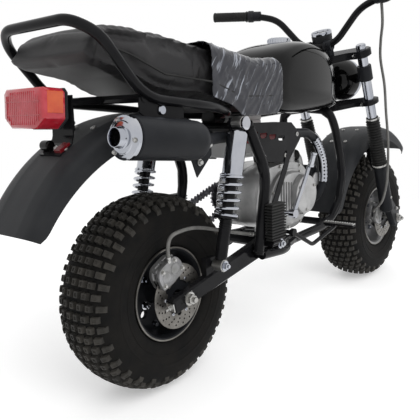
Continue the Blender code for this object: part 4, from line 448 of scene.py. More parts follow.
def add_knob(axle, place, angle, width, length):
    """A tapered tread block with a sunken top."""
    levels = ((False, 1, 0), (True, 0.82, 0), (True, 0.46, 0), (True, 0.38, 0.0022))
    rings = []
    for top, share, drop in levels:
        ring = []
        for across, along in ((-1, -1), (1, -1), (1, 1), (-1, 1)):
            radius, side = tread_point(place + across * width / 2 * share, top)
            sink = 0.0025 if not top else drop
            ring.append(spun(axle, radius - sink, side, angle + along * length / 2 * share / TYRE_RADIUS))
        rings.append(ring)
    skin(rings)


def make_tyre(prefix, axle, rows, knob_length):
    side = smooth_line([(radius * TYRE_RADIUS, across * TYRE_HALF) for radius, across in SIDEWALL], 2)
    crown = [tread_point(place / 10, False) for place in (11, 10, 9, 8, 7, 6, 5, 4, 3, 2, 1)]
    half = side + crown
    profile = half + [(half[-1][0], 0)] + [(radius, -across) for radius, across in reversed(half)]
    profile += [(RIM_RADIUS + SKIN, -RIM_HALF + 0.006), (RIM_RADIUS - 0.006, -RIM_HALF + 0.012),
        (RIM_RADIUS - 0.006, RIM_HALF - 0.012), (RIM_RADIUS + SKIN, RIM_HALF - 0.006)]
    ringed(profile, wheel_axes(axle), 120)
    stand_in(prefix + "_tyre_carcass", prefix + "_tyre", smooth=50)
    for row in range(rows):
        angle = 2 * pi * (row + 0.5) / rows
        for place in KNOB_ROWS[row % 2]:
            wide = 0.25 if abs(place) > 0.9 else 0.2
            add_knob(axle, place, angle, wide, knob_length)
    # The knobs take a lighter copy of the tyre rubber: painted highlight on their tops.
    stand_in(prefix + "_tyre_knobs", prefix + "_tyre", "lit_tread_top", 20)


# Wheels

def pierce(work):
    """Take what the shape fills out of the work, and leave the rest of it as the shape."""
    tool = mesh_object("tool")
    modifier = work.modifiers.new("cut", "BOOLEAN")
    modifier.operation = "DIFFERENCE"
    modifier.solver = "EXACT"
    modifier.use_self = True
    modifier.object = tool
    bpy.context.view_layer.update()
    evaluated = work.evaluated_get(bpy.context.evaluated_depsgraph_get())
    shape.from_mesh(evaluated.to_mesh())
    evaluated.to_mesh_clear()
    for thing in (work, tool):
        mesh = thing.data
        bpy.data.objects.remove(thing, do_unlink=True)
        bpy.data.meshes.remove(mesh)


def make_rim(prefix, axle, look):
    """Pressed rim with rolled flanges, bolted centre, hub and nuts."""
    flange, edge = RIM_RADIUS, RIM_HALF
    outside = [(0.0079, 0.06), (0.02, 0.06), (0.024, 0.057), (0.026, 0.05), (0.028, 0.03), (0.034, 0.012),
        (0.06, 0.006), (0.078, 0.005), (0.088, 0.007), (0.094, 0.012), (0.099, 0.022), (0.101, 0.05), (0.103, 0.062),
        (0.108, edge - 0.001), (0.113, edge), (flange, edge - 0.0012), (flange, edge - 0.0036),
        (0.1085, edge - 0.005), (0.1072, edge - 0.009)]
    inside = [(radius, -across) for radius, across in reversed(outside)]
    ringed(outside + inside, wheel_axes(axle), 64)
    work = mesh_object("work")
    for angle in around(6, 0.5):
        crossbar(spun(axle, 0.066, 0, angle), 0.02, 0.0105, 20)
    pierce(work)
    stand_in(prefix + "_rim_shell", prefix + "_rim", look, 40)
    for side in (-1, 1):
        for angle in around(8):
            hex_bolt(spun(axle, 0.089, side * 0.0078, angle), (0, side, 0), 0.013, 0.007)
        for angle in around(4, 0.5):
            hex_bolt(spun(axle, 0.045, side * 0.0095, angle), (0, side, 0), 0.016, 0.011, stud=0.004)
    piece(prefix + "_rim_nuts", prefix + "_wheel", "zinc_steel", "chrome", smooth=30)
    for side in (-1, 1):
        lip = [(flange + 0.0006 * cos(a) + 0.0002, side * (edge - 0.0022 + 0.0028 * sin(a)))
            for a in (pi * step / 6 - pi / 2 for step in range(7))]
        lip += [(flange - 0.0035, side * (edge + 0.0004)), (flange - 0.0035, side * (edge - 0.0004))]
        ringed(lip, wheel_axes(axle), 96)
    piece(prefix + "_rim_lip", prefix + "_wheel", "zinc_steel", "brake_steel", smooth=50)
    foot = spun(axle, 0.101, -0.045, 2.2)
    tube([foot, foot + at(-4, -6, 6), foot + at(-10, -24, 14)], 0.0038, 0.004)
    piece(prefix + "_valve", prefix + "_wheel", "black_rubber", smooth=40)


def make_disc(prefix, axle):
    """Drilled brake disc on its carrier, with the bolts that hold it."""
    plane = -0.094
    ringed([(0.079, plane - 0.0016), (0.0795, plane - 0.001), (0.0795, plane + 0.001), (0.079, plane + 0.0016),
        (0.039, plane + 0.0016), (0.039, plane - 0.0016)], wheel_axes(axle), 96)
    work = mesh_object("work")
    for index in range(18):
        for step in range(3):
            angle = 2 * pi * (index + step * 0.28) / 18
            crossbar(spun(axle, 0.056 + step * 0.0075, plane, angle), 0.006, 0.0024, 12)
    for angle in around(6):
        crossbar(spun(axle, 0.041, plane, angle), 0.006, 0.0075, 20)
    pierce(work)
    stand_in(prefix + "_disc_plate", prefix + "_brake_disc", "brake_steel", 30)
    ringed(mm(16, -60.5, 43, -60.5, 45, -64, 45, -88, 50.5, -90.5, 50.5, -91.8, 16, -91.8), wheel_axes(axle), 48)
    stand_in(prefix + "_disc_carrier", prefix + "_brake_disc", "black_muffler", 30)
    for angle in around(6, 0.5):
        screw(spun(axle, 0.045, -0.0956, angle), (0, -1, 0), 0.0085, 0.0028)
    piece(prefix + "_disc_screws", prefix + "_wheel", "zinc_steel", "chrome", smooth=30)


def make_axle(prefix, axle, outer):
    """Axle bar and its bright ends: washer, large nut and threaded stub."""
    for side in (-1, 1):
        start = axle + vec(0, side * (outer + SKIN), 0)
        turned(mm(16.5, 0, 16.5, 2.8), aimed(start, (0, side, 0)), 32)
        hex_bolt(start + vec(0, side * 0.0028, 0), (0, side, 0), 0.026, 0.0115, 0, 0.007)
    crossbar(axle, outer + 0.01, AXLE_RADIUS)
    stand_in(prefix + "_axle_nuts", prefix + "_axle", smooth=30)


# Chain drive
SPROCKET_CENTRE = vec(0.33 * WHEELBASE, 0, 0.59 * FRAME_HEIGHT)
CHAIN_PLANE = 0.0935
LARGE_RADIUS = 0.0815
SMALL_RADIUS = 0.037


def chain_route(count):
    """Evenly spaced places and directions of the chain's pins."""
    between = SPROCKET_CENTRE - REAR_AXLE
    run = atan2(between.z, between.x)
    spread = acos((LARGE_RADIUS - SMALL_RADIUS) / between.length)
    points = []
    for centre, radius, first, last in ((REAR_AXLE, LARGE_RADIUS, run + spread, run - spread + 2 * pi),
            (SPROCKET_CENTRE, SMALL_RADIUS, run - spread, run + spread)):
        for step in range(41):
            angle = first + (last - first) * step / 40
            points.append(vec(centre.x + radius * cos(angle), CHAIN_PLANE, centre.z + radius * sin(angle)))
    points.append(points[0])
    lengths = [(after - before).length for before, after in zip(points, points[1:])]
    pitch = sum(lengths) / count
    places, walked, leg = [], 0, 0
    for index in range(count):
        while walked + lengths[leg] < index * pitch:
            walked += lengths[leg]
            leg += 1
        share = (index * pitch - walked) / lengths[leg]
        places.append(points[leg].lerp(points[leg + 1], share))
    return places


def make_chain(count):
    """Roller chain: a pair of outer or inner plates to each link, with its pins and rollers."""
    places = chain_route(count)
    for index, place in enumerate(places):
        after = places[(index + 1) % count]
        along = after - place
        matrix = aimed(place.lerp(after, 0.5), (0, 1, 0), along.cross(vec(0, 1, 0)))
        half = along.length / 2
        outline = []
        for end in (-1, 1):
            for step in range(7):
                angle = end * pi / 2 + pi * (step - 3) / 6
                outline.append((0.0044 * cos(angle), end * half + 0.0044 * sin(angle)))
        for side in (-1, 1):
            plane = side * (0.0042 if index % 2 else 0.0031)
            prism(outline, 0.001, matrix @ Matrix.Translation((0, 0, plane)))
        crossbar(place, 0.0026, 0.0039, 10)
        crossbar(place, 0.005, 0.0017, 8)
    stand_in("chain_links", "drive_chain", smooth=30)


def toothed(centre, teeth, radius, thickness, inner, plane):
    """Add a flat sprocket with pointed teeth and a round bore."""
    rings = []
    for step, angle in enumerate(around(teeth * 6)):
        rise = (0, 0.35, 1, 1, 0.35, 0)[step % 6]
        far = radius - 0.0035 + rise * 0.0065
        spoke = vec(cos(angle), 0, sin(angle))
        low, high = vec(0, plane - thickness / 2, 0), vec(0, plane + thickness / 2, 0)
        rings.append([centre + spoke * inner + low, centre + spoke * far + low, centre + spoke * far + high, centre
            + spoke * inner + high])
    skin(rings, closed=True)


def make_sprocket():
    toothed(REAR_AXLE, 36, 0.0785, 0.005, 0.03, CHAIN_PLANE)
    work = mesh_object("work")
    for angle in around(6):
        crossbar(spun(REAR_AXLE, 0.058, CHAIN_PLANE, angle), 0.01, 0.0105)
    pierce(work)
    stand_in("sprocket_ring", "rear_sprocket", "spring_steel", 30)
    ringed(mm(16, 60.5, 40, 60.5, 42, 64, 42, 88, 40.5, 90.5, 16, 90.5), wheel_axes(REAR_AXLE), 48)
    for angle in around(5):
        hex_bolt(spun(REAR_AXLE, 0.0355, CHAIN_PLANE + 0.0026, angle), (0, 1, 0), 0.01, 0.005)
    stand_in("sprocket_carrier", "rear_sprocket", smooth=30)


# Frame
PAINT = "frame_paint"
CRADLE = ((0.646, 0.88), (0.688, 0.7), (0.692, 0.57), (0.655, 0.462), (0.59, 0.415), (0.398, 0.4))
UPRIGHT = ((0.216, 0.421), (0.254, 0.724), (0.184, 0.915))
SPINE = ((0.738, 1.083), (0.63, 0.985), (0.205, 0.935))
RAIL = ((0.224, 0.945), (0.16, 0.955), (0.055, 0.981), (-0.115, 1.006), (-0.205, 1.175))
LOOP = (-0.232, 1.215)
CROSS_TUBES = ((0.602, 0.427), (0.43, 0.401))
RAIL_PLANE = 0.155
UPRIGHT_HALF = 0.148
CRADLE_HALF = 0.1
HEAD_LENGTH = 0.14
SWING_PIVOT = vec(0.288 * WHEELBASE, 0, 0.443 * FRAME_HEIGHT)


def weld(place, direction, radius):
    """Add a rippled weld bead round a joint."""
    matrix = aimed(place, direction)
    points = []
    for step in range(49):
        angle = 2 * pi * step / 48
        points.append(matrix @ vec(radius * cos(angle), radius * sin(angle), 0))
    tube(points, 0.0026, 0, 8, radii=lambda share: 1 + 0.22 * sin(share * 2 * pi * 24))


def make_frame_tubes():
    """The frame's round tubes, with welds where they meet."""
    top = HEAD_BASE + FORK_UP * HEAD_LENGTH
    ringed([(0.0155, 0), (0.0255, 0), (0.0265, 0.003), (0.0265, 0.01), (0.0255, 0.012), (0.0255, 0.128),
        (0.0265, 0.13), (0.0265, 0.137), (0.0255, HEAD_LENGTH), (0.0155, HEAD_LENGTH)], aimed(HEAD_BASE, FORK_UP), 48)
    spine = placed(SPINE)
    spine[0] = spine[0] - (spine[0] - spine[1]).normalized() * 0.004
    tube(spine, 0.023, 0.046, 32)
    tube([HEAD_BASE + FORK_UP * 0.021, spine[1]], 0.013, 0, 24)
    weld(HEAD_BASE.lerp(top, 0.62) + (spine[1] - top).normalized() * 0.024, spine[1] - spine[0], 0.0225)
    stand_in("backbone_tubes", "head_and_spine", smooth=40)
    for side in (-1, 1):
        route = placed([(0.632, 0.955)], side * 0.0138) + placed([(0.636, 0.945)], side * 0.084)
        route += placed(CRADLE, side * CRADLE_HALF) + placed([(0.33, 0.403), (0.23, 0.415)], side * UPRIGHT_HALF)
        tube(route, 0.01335, 0.036, 24)
        upright = placed(UPRIGHT, side * UPRIGHT_HALF)
        tube(upright, 0.0144, 0.056, 24)
        weld(upright[0] + at(0, 0, 8), upright[1] - upright[0], 0.0145)
        weld(upright[2] - (upright[2] - upright[1]).normalized() * 0.012, upright[2] - upright[1], 0.0142)
        for place in placed(CROSS_TUBES, side * (CRADLE_HALF - 0.0135)):
            weld(place, (0, side, 0), 0.0125)
    crossbar(placed([(0.184, 0.9)])[0], UPRIGHT_HALF, 0.0134)
    for place in placed(CROSS_TUBES):
        crossbar(place, CRADLE_HALF, 0.0121)
    piece("cradle_tubes", "frame", PAINT, smooth=40)
    left, right = placed(RAIL, RAIL_PLANE), placed(RAIL, -RAIL_PLANE)
    for side, route in ((1, left), (-1, right)):
        route[0].y = side * 0.0138
        route[1].y = side * 0.1184
    corners = placed([LOOP], RAIL_PLANE * 0.7) + placed([LOOP], -RAIL_PLANE * 0.7)
    tube(left + corners + list(reversed(right)), 0.011, 0.055, 24)
    stand_in("rail_tubes", "seat_rail", smooth=40)


def make_frame_hardware():
    """Bright bolts on the frame, the pivots and the shock mounts."""
    for side in (-1, 1):
        out = vec(0, side, 0)
        eye = placed([(0.151, 0.918)], side * SHOCK_HALF)[0] + out * 0.0193
        turned(mm(14.5, 0, 16.5, 1.5, 16.5, 4, 12, 6.5, 8, 7), aimed(eye, out), 32)
        foot = placed([(0.076, 0.436)], side * SHOCK_HALF)[0] + out * 0.0153
        turned(mm(12.5, 0, 12.5, 2), aimed(foot, out), 24)
        hex_bolt(foot + out * 0.002, out, 0.017, 0.008, 0, 0.004)
        pivot = SWING_PIVOT + out * (UPRIGHT_HALF + 0.0145)
        turned(mm(14, -4, 14, 2), aimed(pivot, out), 24)
        hex_bolt(pivot + out * 0.002, out, 0.021, 0.009, 0, 0.004)
        for share in ((0.236, 0.425), (0.32, 0.42)):
            hex_bolt(placed([share], side * 0.1412)[0], out, 0.012, 0.006)
    hanger = vec(-0.088, -0.1532, 0.6795)
    turned(mm(10.5, 0, 10.5, 3, 8.5, 4.8), aimed(hanger, (0, -1, 0)), 28)
    piece("frame_bolts", "frame", "zinc_steel", "chrome")
    plate = mm(-150, 706, -20, 697, -20, 661, -36, 660, -136, 668, -150, 676)
    prism(plate, 0.004, side_view(-0.1512))
    piece("muffler_hanger", "frame", PAINT, bevel=0.0006, smooth=30)


# Swinging arm and shock absorbers

def make_arm_fittings():
    """Chain adjusters at the arm's tail, with welds at its pivot."""
    run = (REAR_AXLE - SWING_PIVOT).normalized()
    for side in (-1, 1):
        tail = REAR_AXLE + run * 0.0502 + vec(0, side, 0) * 0.117
        block((0, 0, 0.0015), (0.02, 0.0225, 0.003), aimed(tail, run))
        hex_bolt(tail + run * 0.003, run, 0.012, 0.006, 0.001, 0.01)
        for step in range(5):
            place = REAR_AXLE + run * (step * 0.006 - 0.012) + vec(0, side, 0) * (ARM_OUTER + 0.0003)
            block((0.0135, 0, 0), (0.0045, 0.0006, 0.0009), aimed(place, run, (0, 1, 0)))
    piece("arm_adjusters", "frame", "zinc_steel", smooth=30)
    for side in (-1, 1):
        out = vec(0, side, 0)
        for end in (-1, 1):
            place = REAR_AXLE + run * (0.024 * end) + out * (ARM_OUTER + 0.0004)
            block((0, 0, 0), (0.0012, 0.0006, 0.009), aimed(place, run, (0, 0, 1)))
        weld(SWING_PIVOT + out * (ARM_OUTER - 0.002), out, 0.0212)
    piece("arm_welds", "frame", PAINT, smooth=40)


def spring_wire(base, direction, length, radius, wire, turns, sides=12, steps=32):
    """Add a coil spring with flat closed ends."""
    matrix = aimed(base, direction)
    total = turns + 1.5
    count = int(total * steps)
    points = []
    for step in range(count + 1):
        turn = total * step / count
        rise = min(max(turn - 0.75, 0), turns) / turns
        angle = 2 * pi * turn
        points.append(matrix @ vec(radius * cos(angle), radius * sin(angle), rise * length))
    tube(points, wire, 0, sides)


def make_shock_pieces(side, turns):
    """Chromed cover, bright spring, damper, eyes and bushes of one shock absorber."""
    name = "shock_" + SIDES[side]
    foot = placed([(0.076, 0.436)], side * SHOCK_HALF)[0]
    top = placed([(0.151, 0.918)], side * SHOCK_HALF)[0]
    direction = (top - foot).normalized()
    length = (top - foot).length
    matrix = aimed(foot, direction)
    low, high = length * 0.34, length * 0.63
    profile = [(0.015, high - 0.002), (0.0254, high - 0.002), (0.0261, high), (0.0261, high + 0.003),
        (0.0254, high + 0.005)]
    profile += [(0.0252, length - 0.03)]
    profile += [(0.0152 + 0.01 * cos(angle), length - 0.03 + 0.0115 * sin(angle))
        for angle in (pi * step / 16 for step in range(1, 9))]
    turned(profile + [(0.008, length - 0.018)], matrix, 64)
    stand_in(name + "_cover", name, smooth=40)
    spring_wire(foot + direction * (low + 0.003), direction, high - low - 0.005, 0.0262, 0.0039, turns)
    piece(name + "_coil", "frame", "spring_steel", "chrome", [name], smooth=60)
    turned([(0.011, 0.01), (0.0145, 0.016), (0.015, 0.02), (0.015, low - 0.01), (0.0165, low - 0.008),
        (0.0295, low - 0.005), (0.0301, low - 0.003), (0.0301, low), (0.0148, low), (0.0148, high - 0.004),
        (0.006, high - 0.003), (0.006, length - 0.02)], matrix, 48)
    for step in range(3):
        turned([(0.015, low - 0.022 - step * 0.006), (0.016, low - 0.0205 - step * 0.006),
            (0.016, low - 0.0185 - step * 0.006), (0.015, low - 0.017 - step * 0.006)], matrix, 48)
    piece(name + "_damper", "frame", "black_plastic", "frame_paint", [name])
    for place in (foot, top):
        start = place - at(0, 15, 0)
        ringed(mm(7.2, 0, 14.2, 0, 15, 1, 15, 29, 14.2, 30, 7.2, 30), aimed(start, (0, 1, 0)), 40)
    stand_in(name + "_eyes", name, "zinc_steel")
    for place in (foot, top):
        ringed(mm(7.2, 0, 10.8, 0, 10.8, 31.2, 7.2, 31.2), aimed(place - at(0, 15.6, 0), (0, 1, 0)), 32)
    piece(name + "_bushes", "frame", "black_rubber", replaces=[name])


# Engine
COVER_OUTLINE = ((0.34, 0.5), (0.4, 0.465), (0.47, 0.47), (0.52, 0.53), (0.525, 0.64), (0.48, 0.695), (0.4, 0.7),
    (0.35, 0.62))
CASE_OUTLINE = ((0.3, 0.52), (0.345, 0.47), (0.44, 0.44), (0.5, 0.455), (0.54, 0.52), (0.545, 0.64), (0.5, 0.72),
    (0.4, 0.73), (0.32, 0.69))


def scaled(outline, share):
    """The outline, larger or smaller about its middle."""
    middle_x, middle_z = (sum(values) / len(outline) for values in zip(*outline))
    return [(middle_x + (x - middle_x) * share, middle_z + (z - middle_z) * share) for x, z in outline]


def stepped(outline, levels, side=1):
    """Add a side outline set across in levels of (plane, share of the outline), from its foot to its face."""
    skin([[vec(x, side * plane, z) for x, z in scaled(outline, share)] for plane, share in levels])


def make_engine_side(side):
    """Cast side cover: bolted rim, ribbed recesses and a raised round lid."""
    name = "clutch_cover" if side < 0 else "flywheel_cover"
    outline = smooth_outline(flat(COVER_OUTLINE), 8)
    stepped(outline, ((0.0753, 0.985), (0.0753, 1), (0.085, 1), (0.0865, 0.992), (0.0868, 0.94), (0.095, 0.915),
        (0.1, 0.9), (0.1022, 0.88), (0.1025, 0.8)), side)
    centre = placed([(0.47, 0.593)])[0]
    face = 0.1024
    work = mesh_object("work")
    for index in range(5):
        x = 0.372 * WHEELBASE + index * 0.0135
        low, high = 0.506 * FRAME_HEIGHT + index * 0.003, 0.66 * FRAME_HEIGHT - index * 0.002
        if side < 0 or index < 2:
            outline = [(0.0042 * cos(a), 0.0042 * sin(a) + (high - low) / 2)
                for a in (pi * step / 6 for step in range(7))]
            outline += [(across, -above) for across, above in reversed(outline)]
            slot = Matrix.Translation((x, side * face, (low + high) / 2)) @ side_view(0)
            prism(outline, 0.01, slot)
    ringed(mm(60, -6, 63.6, -6, 63.6, 6, 60, 6), aimed(centre + vec(0, side * face, 0), (0, side, 0)), 64)
    pierce(work)
    stand_in(name + "_casting", name, bevel=0.0008, smooth=32)
    lid = mm(50, 99.5, 59, 99.5, 59, 116.5, 58, 119, 56, 120, 53, 120.3, 52, 119.6, 30, 119.8, 8, 120)
    turned(lid, aimed(vec(centre.x, 0, centre.z), (0, side, 0)), 72)
    stand_in(name + "_lid", name, smooth=32)
    for angle in around(3):
        spot = centre + vec(0.0475 * cos(angle + 0.5), side * 0.1203, 0.0475 * sin(angle + 0.5))
        screw(spot, (0, side, 0), 0.0095, 0.0035)
    for x, z in scaled(smooth_outline(flat(COVER_OUTLINE), 1), 0.955):
        hex_bolt(vec(x, side * 0.0866, z), (0, side, 0), 0.0085, 0.0045, 0.0008)
    piece(name + "_screws", "frame", "cast_aluminium", "zinc_steel", smooth=32)


def make_engine_case():
    """Crankcase halves with their seam, webs and the output sprocket."""
    outline = smooth_outline(flat(CASE_OUTLINE), 6)
    for side in (-1, 1):
        stepped(outline, ((0.0006, 0.98), (0.002, 1), (0.03, 1), (0.034, 0.985), (0.066, 0.985), (0.068, 0.995),
            (0.0742, 0.995), (0.0748, 0.985)), side)
    stepped(outline, ((-0.0008, 0.972), (0.0008, 0.972)), 1)
    mount = placed([(0.43, 0.401)])[0]
    block((mount.x, 0, mount.z + 0.024), (0.024, 0.072, 0.034))
    start = vec(0.33 * WHEELBASE, 0.07, 0.59 * FRAME_HEIGHT)
    rod(start, start + at(0, 31.5, 0), 0.0105, 24)
    stand_in("crankcase_halves", "crankcase", bevel=0.001)
    toothed(SPROCKET_CENTRE, 17, 0.0345, 0.0055, 0.0095, CHAIN_PLANE)
    hex_bolt(SPROCKET_CENTRE + vec(0, CHAIN_PLANE + 0.0027, 0), (0, 1, 0), 0.02, 0.006, 0.001)
    stand_in("output_sprocket", "crankcase", "spring_steel", 30)
    for x, z in smooth_outline(flat(CASE_OUTLINE), 1):
        for side in (-1, 1):
            spot = vec(x, 0, z).lerp(vec(0.43 * WHEELBASE, 0, 0.59 * FRAME_HEIGHT), 0.06)
            hex_bolt(spot + vec(0, side * 0.0749, 0), (0, side, 0), 0.009, 0.004, 0.0008)
    drain = placed([(0.435, 0.441)])[0]
    hex_bolt(drain + at(30, 30, -1), (0, 0, -1), 0.017, 0.008)
    piece("case_bolts", "frame", "cast_aluminium", "zinc_steel", smooth=30)


def cylinder_matrix():
    tilt = radians(12)
    return aimed(placed([(0.525, 0.59)])[0], (cos(tilt), 0, sin(tilt)))


def make_cylinder_fins(count):
    """Finned barrel, head with its round inspection cap, studs and spark plug."""
    matrix = cylinder_matrix()
    side, length = 0.092, 0.14
    for low, high, share in ((0, 0.092, 0.8), (0.092, 0.138, 0.9)):
        block((0, 0, (low + high) / 2), (side * share, side * share, high - low), matrix)
    pitch = 0.092 / (count + 0.5)
    for index in range(count):
        block((0, 0, pitch * (index + 0.8)), (side * 1.05, side * 1.1, 0.0024), matrix)
    for index in range(4):
        block((0, 0, 0.098 + index * 0.0078), (side * 1, side * 0.99, 0.0024), matrix)
    stand_in("barrel_fins", "cylinder_and_head", "black_muffler", bevel=0.0008, smooth=30)
    turned(mm(29, 136, 29, 142, 27, 144.5, 12, 145, 11, 147.5, 6, 147.5), matrix, 40)
    for across in (-1, 1):
        for above in (-1, 1):
            spot = matrix @ vec(across * 0.034, above * 0.034, 0.1382)
            hex_bolt(spot, matrix.to_3x3() @ vec(0, 0, 1), 0.012, 0.006, 0.001, 0.003)
    turned(mm(22, 0, 22, 4.5, 19, 7, 10, 7.5), matrix @ Matrix.Translation((0, -0.0455,
        0.116)) @ Matrix.Rotation(pi / 2, 4, "X"), 36)
    stand_in("head_caps", "cylinder_and_head", smooth=32)
    plug = matrix @ at(0, 47, 112)
    tube([plug, plug + at(4, 22, 10), plug + at(-16, 30, 36)], 0.0065, 0.012, 16)
    piece("plug_cap", "frame", "black_rubber", smooth=40)


def make_carburettor_pieces():
    """Intake elbow with its ribbed boot, carburettor body and round air filter."""
    matrix = cylinder_matrix()
    port = matrix @ at(-41.4, 0, 100.8)
    top = port + at(-16.8, 0, 44.8)
    back = top + at(-126, 0, 8.4)
    tube([port, top, back], 0.014, 0.03, 28, 10)
    stand_in("intake_pipe", "carburettor", "cast_aluminium", 40)
    middle = top.lerp(back, 0.45)
    turned(mm(16, -45, 20.5, -43, 22, -40, 22, -12, 23.2, -11, 23.2, -6, 21.5, -5, 21.5, 12, 23.2, 13, 23.2, 18,
        20.5, 19, 20.5, 34, 18, 40, 7, 40.5), Matrix.Translation(middle), 40)
    stand_in("carburettor_body", "carburettor", "cast_aluminium", 32)
    along = (back - top).normalized()
    boot = mm(14.2, 0) + ribs(5, 0.0056, mm(17.8, 1.2, 18.6, 2.8, 16, 5.2)) + mm(14.2, 28)
    for start in (top + along * 0.01, back - along * 0.034):
        turned(boot, aimed(start, along), 32)
    pleats = ribs(10, 0.005, mm(35.2, 12.5, 36.8, 15))
    turned(mm(20, 0, 34.5, 1, 37, 4, 37, 10) + pleats + mm(37, 66, 37, 71, 34.5, 74.5, 20, 75),
        aimed(back, (-1, 0, 0)), 48)
    stand_in("air_filter", "carburettor", "black_rubber")


# Exhaust
EXHAUST = ((0.606, 0.56, 0), (0.623, 0.52, 0.24), (0.642, 0.6, 0.36), (0.64, 0.72, 0.36), (0.6, 0.815, 0.36),
    (0.55, 0.85, 0.38), (0.4, 0.862, 0.59), (0.13, 0.87, 0.635), (0.06, 0.868, 0.83), (0.022, 0.87, 0.97))
MUFFLER_PLANE = 0.17
MUFFLER_FRONT = vec(0.015 * WHEELBASE, -MUFFLER_PLANE, 0.87 * FRAME_HEIGHT)
MUFFLER_REAR = vec(-0.18 * WHEELBASE, -MUFFLER_PLANE, 0.9 * FRAME_HEIGHT)


def make_exhaust():
    """Exhaust pipe, heat guard with dark discs painted as shade where its holes would be, can and polished stepped
    cap.
    """
    route = [vec(along * WHEELBASE, -across * MUFFLER_PLANE, up * FRAME_HEIGHT) for along, up, across in EXHAUST]
    tube(route, 0.0141, 0.04, 28, 8)
    turned(mm(14.2, 0, 18.5, 1, 18.5, 6, 14.2, 7), aimed(MUFFLER_FRONT + at(9, 0, 0), (-1, 0, 0)), 32)
    stand_in("exhaust_tube", "exhaust_pipe", smooth=40)
    bend = rounded(route, 0.04, 8)
    arc = [radians(angle) for angle in range(-14, 181, 12)]
    section = [(0.0172 * -sin(a), 0.0172 * cos(a)) for a in arc]
    section += [(0.0158 * -sin(a), 0.0158 * cos(a)) for a in reversed(arc)]
    kept = bend[15:36]
    tube(kept, 0, 0, section=section)
    stand_in("heat_guard", "heat_shield", "chrome")
    # Dark discs on the guard's face: painted shade where its holes would be, not cut openings.
    walked = 0
    for before, after in zip(kept, kept[1:]):
        span = (after - before).length
        along = (after - before).normalized()
        across = vec(0, -1, 0)
        across = (across - along * across.dot(along)).normalized()
        over = along.cross(across)
        while walked < span:
            place = before + along * walked
            for turn in (-0.75, 0, 0.75):
                out = across * cos(turn) + over * sin(turn)
                rod(place + out * 0.0164, place + out * 0.0175, 0.003, 12)
            walked += 0.0125
        walked -= span
    piece("guard_hole_shade", "frame", "black_muffler", "dark_bore")
    direction = (MUFFLER_REAR - MUFFLER_FRONT).normalized()
    length = (MUFFLER_REAR - MUFFLER_FRONT).length
    matrix = aimed(MUFFLER_FRONT, direction)
    turned([(0.015, -0.002), (0.0205, 0), (0.0245, 0.004), (0.033, 0.01), (0.0395, 0.016), (0.042, 0.022),
        (0.0436, 0.028), (0.044, 0.034), (0.044, length - 0.0165), (0.0431, length - 0.0155),
        (0.0431, length - 0.0135)], matrix, 72)
    hanger = mm(9, -83.6, 61.6, -35.2, 61.6, 0, -26.4, 0)
    prism(hanger, 0.003, Matrix.Translation(MUFFLER_FRONT + at(0, 26.4, 0)) @ side_view(0))
    stand_in("muffler_can", "muffler")
    cap = mm(17, 1, 43.2, 1, 44, 2, 44, 9.5, 43, 11, 39.5, 12.2, 38, 12.8, 33.5, 13, 32, 14, 31, 16, 29.5, 16.5,
        22.5, 17, 21.2, 18, 20.4, 20, 20, 32.5, 19.3, 34, 18, 34, 17.2, 32.5, 17, 12)
    end = aimed(MUFFLER_REAR - direction * 0.012, direction)
    ringed(cap, end, 80)
    stand_in("muffler_end", "muffler_cap", smooth=32)
    for angle in around(3):
        spot = end @ vec(0.0362 * cos(angle + 0.4), 0.0362 * sin(angle + 0.4), 0.0127)
        hex_bolt(spot, direction, 0.008, 0.0045, 0.0008)
    for x, z in ((0.052, -0.012), (0.018, -0.05)):
        spot = MUFFLER_FRONT + vec(x, 0.0247, z)
        hex_bolt(spot, (0, -1, 0), 0.012, 0.006)
    piece("muffler_bolts", "frame", "chrome", "zinc_steel", smooth=32)
    turned(mm(16.8, 2, 16.8, 3), end, 40)
    piece("outlet_shadow", "frame", "black_muffler", "dark_bore", ["muffler_cap"])


# Foot controls

def make_foot_controls():
    """Kick starter, gear lever and brake pedal as smooth bent bars with ribbed rubbers."""
    kick = placed(((0.362, 0.54), (0.372, 0.56), (0.425, 0.69), (0.435, 0.72)), -0.15)
    foot = vec(kick[0].x, -0.079, kick[0].z)
    tube([foot] + kick, 0.006, 0.012, 20, radii=lambda share: 1.12 - 0.12 * share)
    turned(mm(12, -10, 13.5, -8, 13.5, 8, 12, 10), aimed(kick[0], (0, 1, 0)), 28)
    end = kick[-1]
    pedal = end + at(0, -12, 42)
    turned(mm(6, 0, 9.2, 1, 9.2, 6, 7.5, 8, 7.5, 36, 9.6, 38, 9.6, 42, 7, 44), aimed(end - at(0, 6, 0), pedal - end),
        28)
    stand_in("kick_bar", "kick_lever", "chrome")
    gear = placed(((0.41, 0.5), (0.5, 0.48)), 0.15)
    foot = vec(gear[0].x, 0.079, gear[0].z)
    end = gear[-1] + at(0, 42, 0)
    tube([foot] + gear + [end], 0.006, 0.012, 20)
    stand_in("gear_bar", "gear_lever", "chrome")
    rubber = ribs(7, 0.0042, mm(9.5, 0.8, 9.5, 2.8, 8.3, 3.2, 8.3, 4))
    turned(mm(6.2, 0) + rubber + mm(6.2, 30.5), aimed(end - at(0, 29, 0), (0, 1, 0)), 24)
    piece("gear_rubber", "frame", "black_rubber", replaces=["gear_lever"])
    brake = placed(((0.33, 0.475), (0.42, 0.395), (0.54, 0.44)), -0.172)
    foot = vec(brake[0].x, -0.1368, brake[0].z)
    end = brake[-1] + at(0, 35, 0)
    tube([foot] + brake + [end], 0.006, 0.012, 20)
    turned(mm(10, -6, 11.5, -4, 11.5, 6), aimed(brake[0], (0, -1, 0)), 28)
    block(end + at(-3, -50, 6), (0.02, 0.1, 0.005))
    stand_in("brake_bar", "brake_pedal")
    for row in range(13):
        block(end + vec(-0.003, -0.002 - row * 0.008, 0.0105), (0.018, 0.0017, 0.006))
    stand_in("brake_tread", "brake_pedal", "zinc_steel")


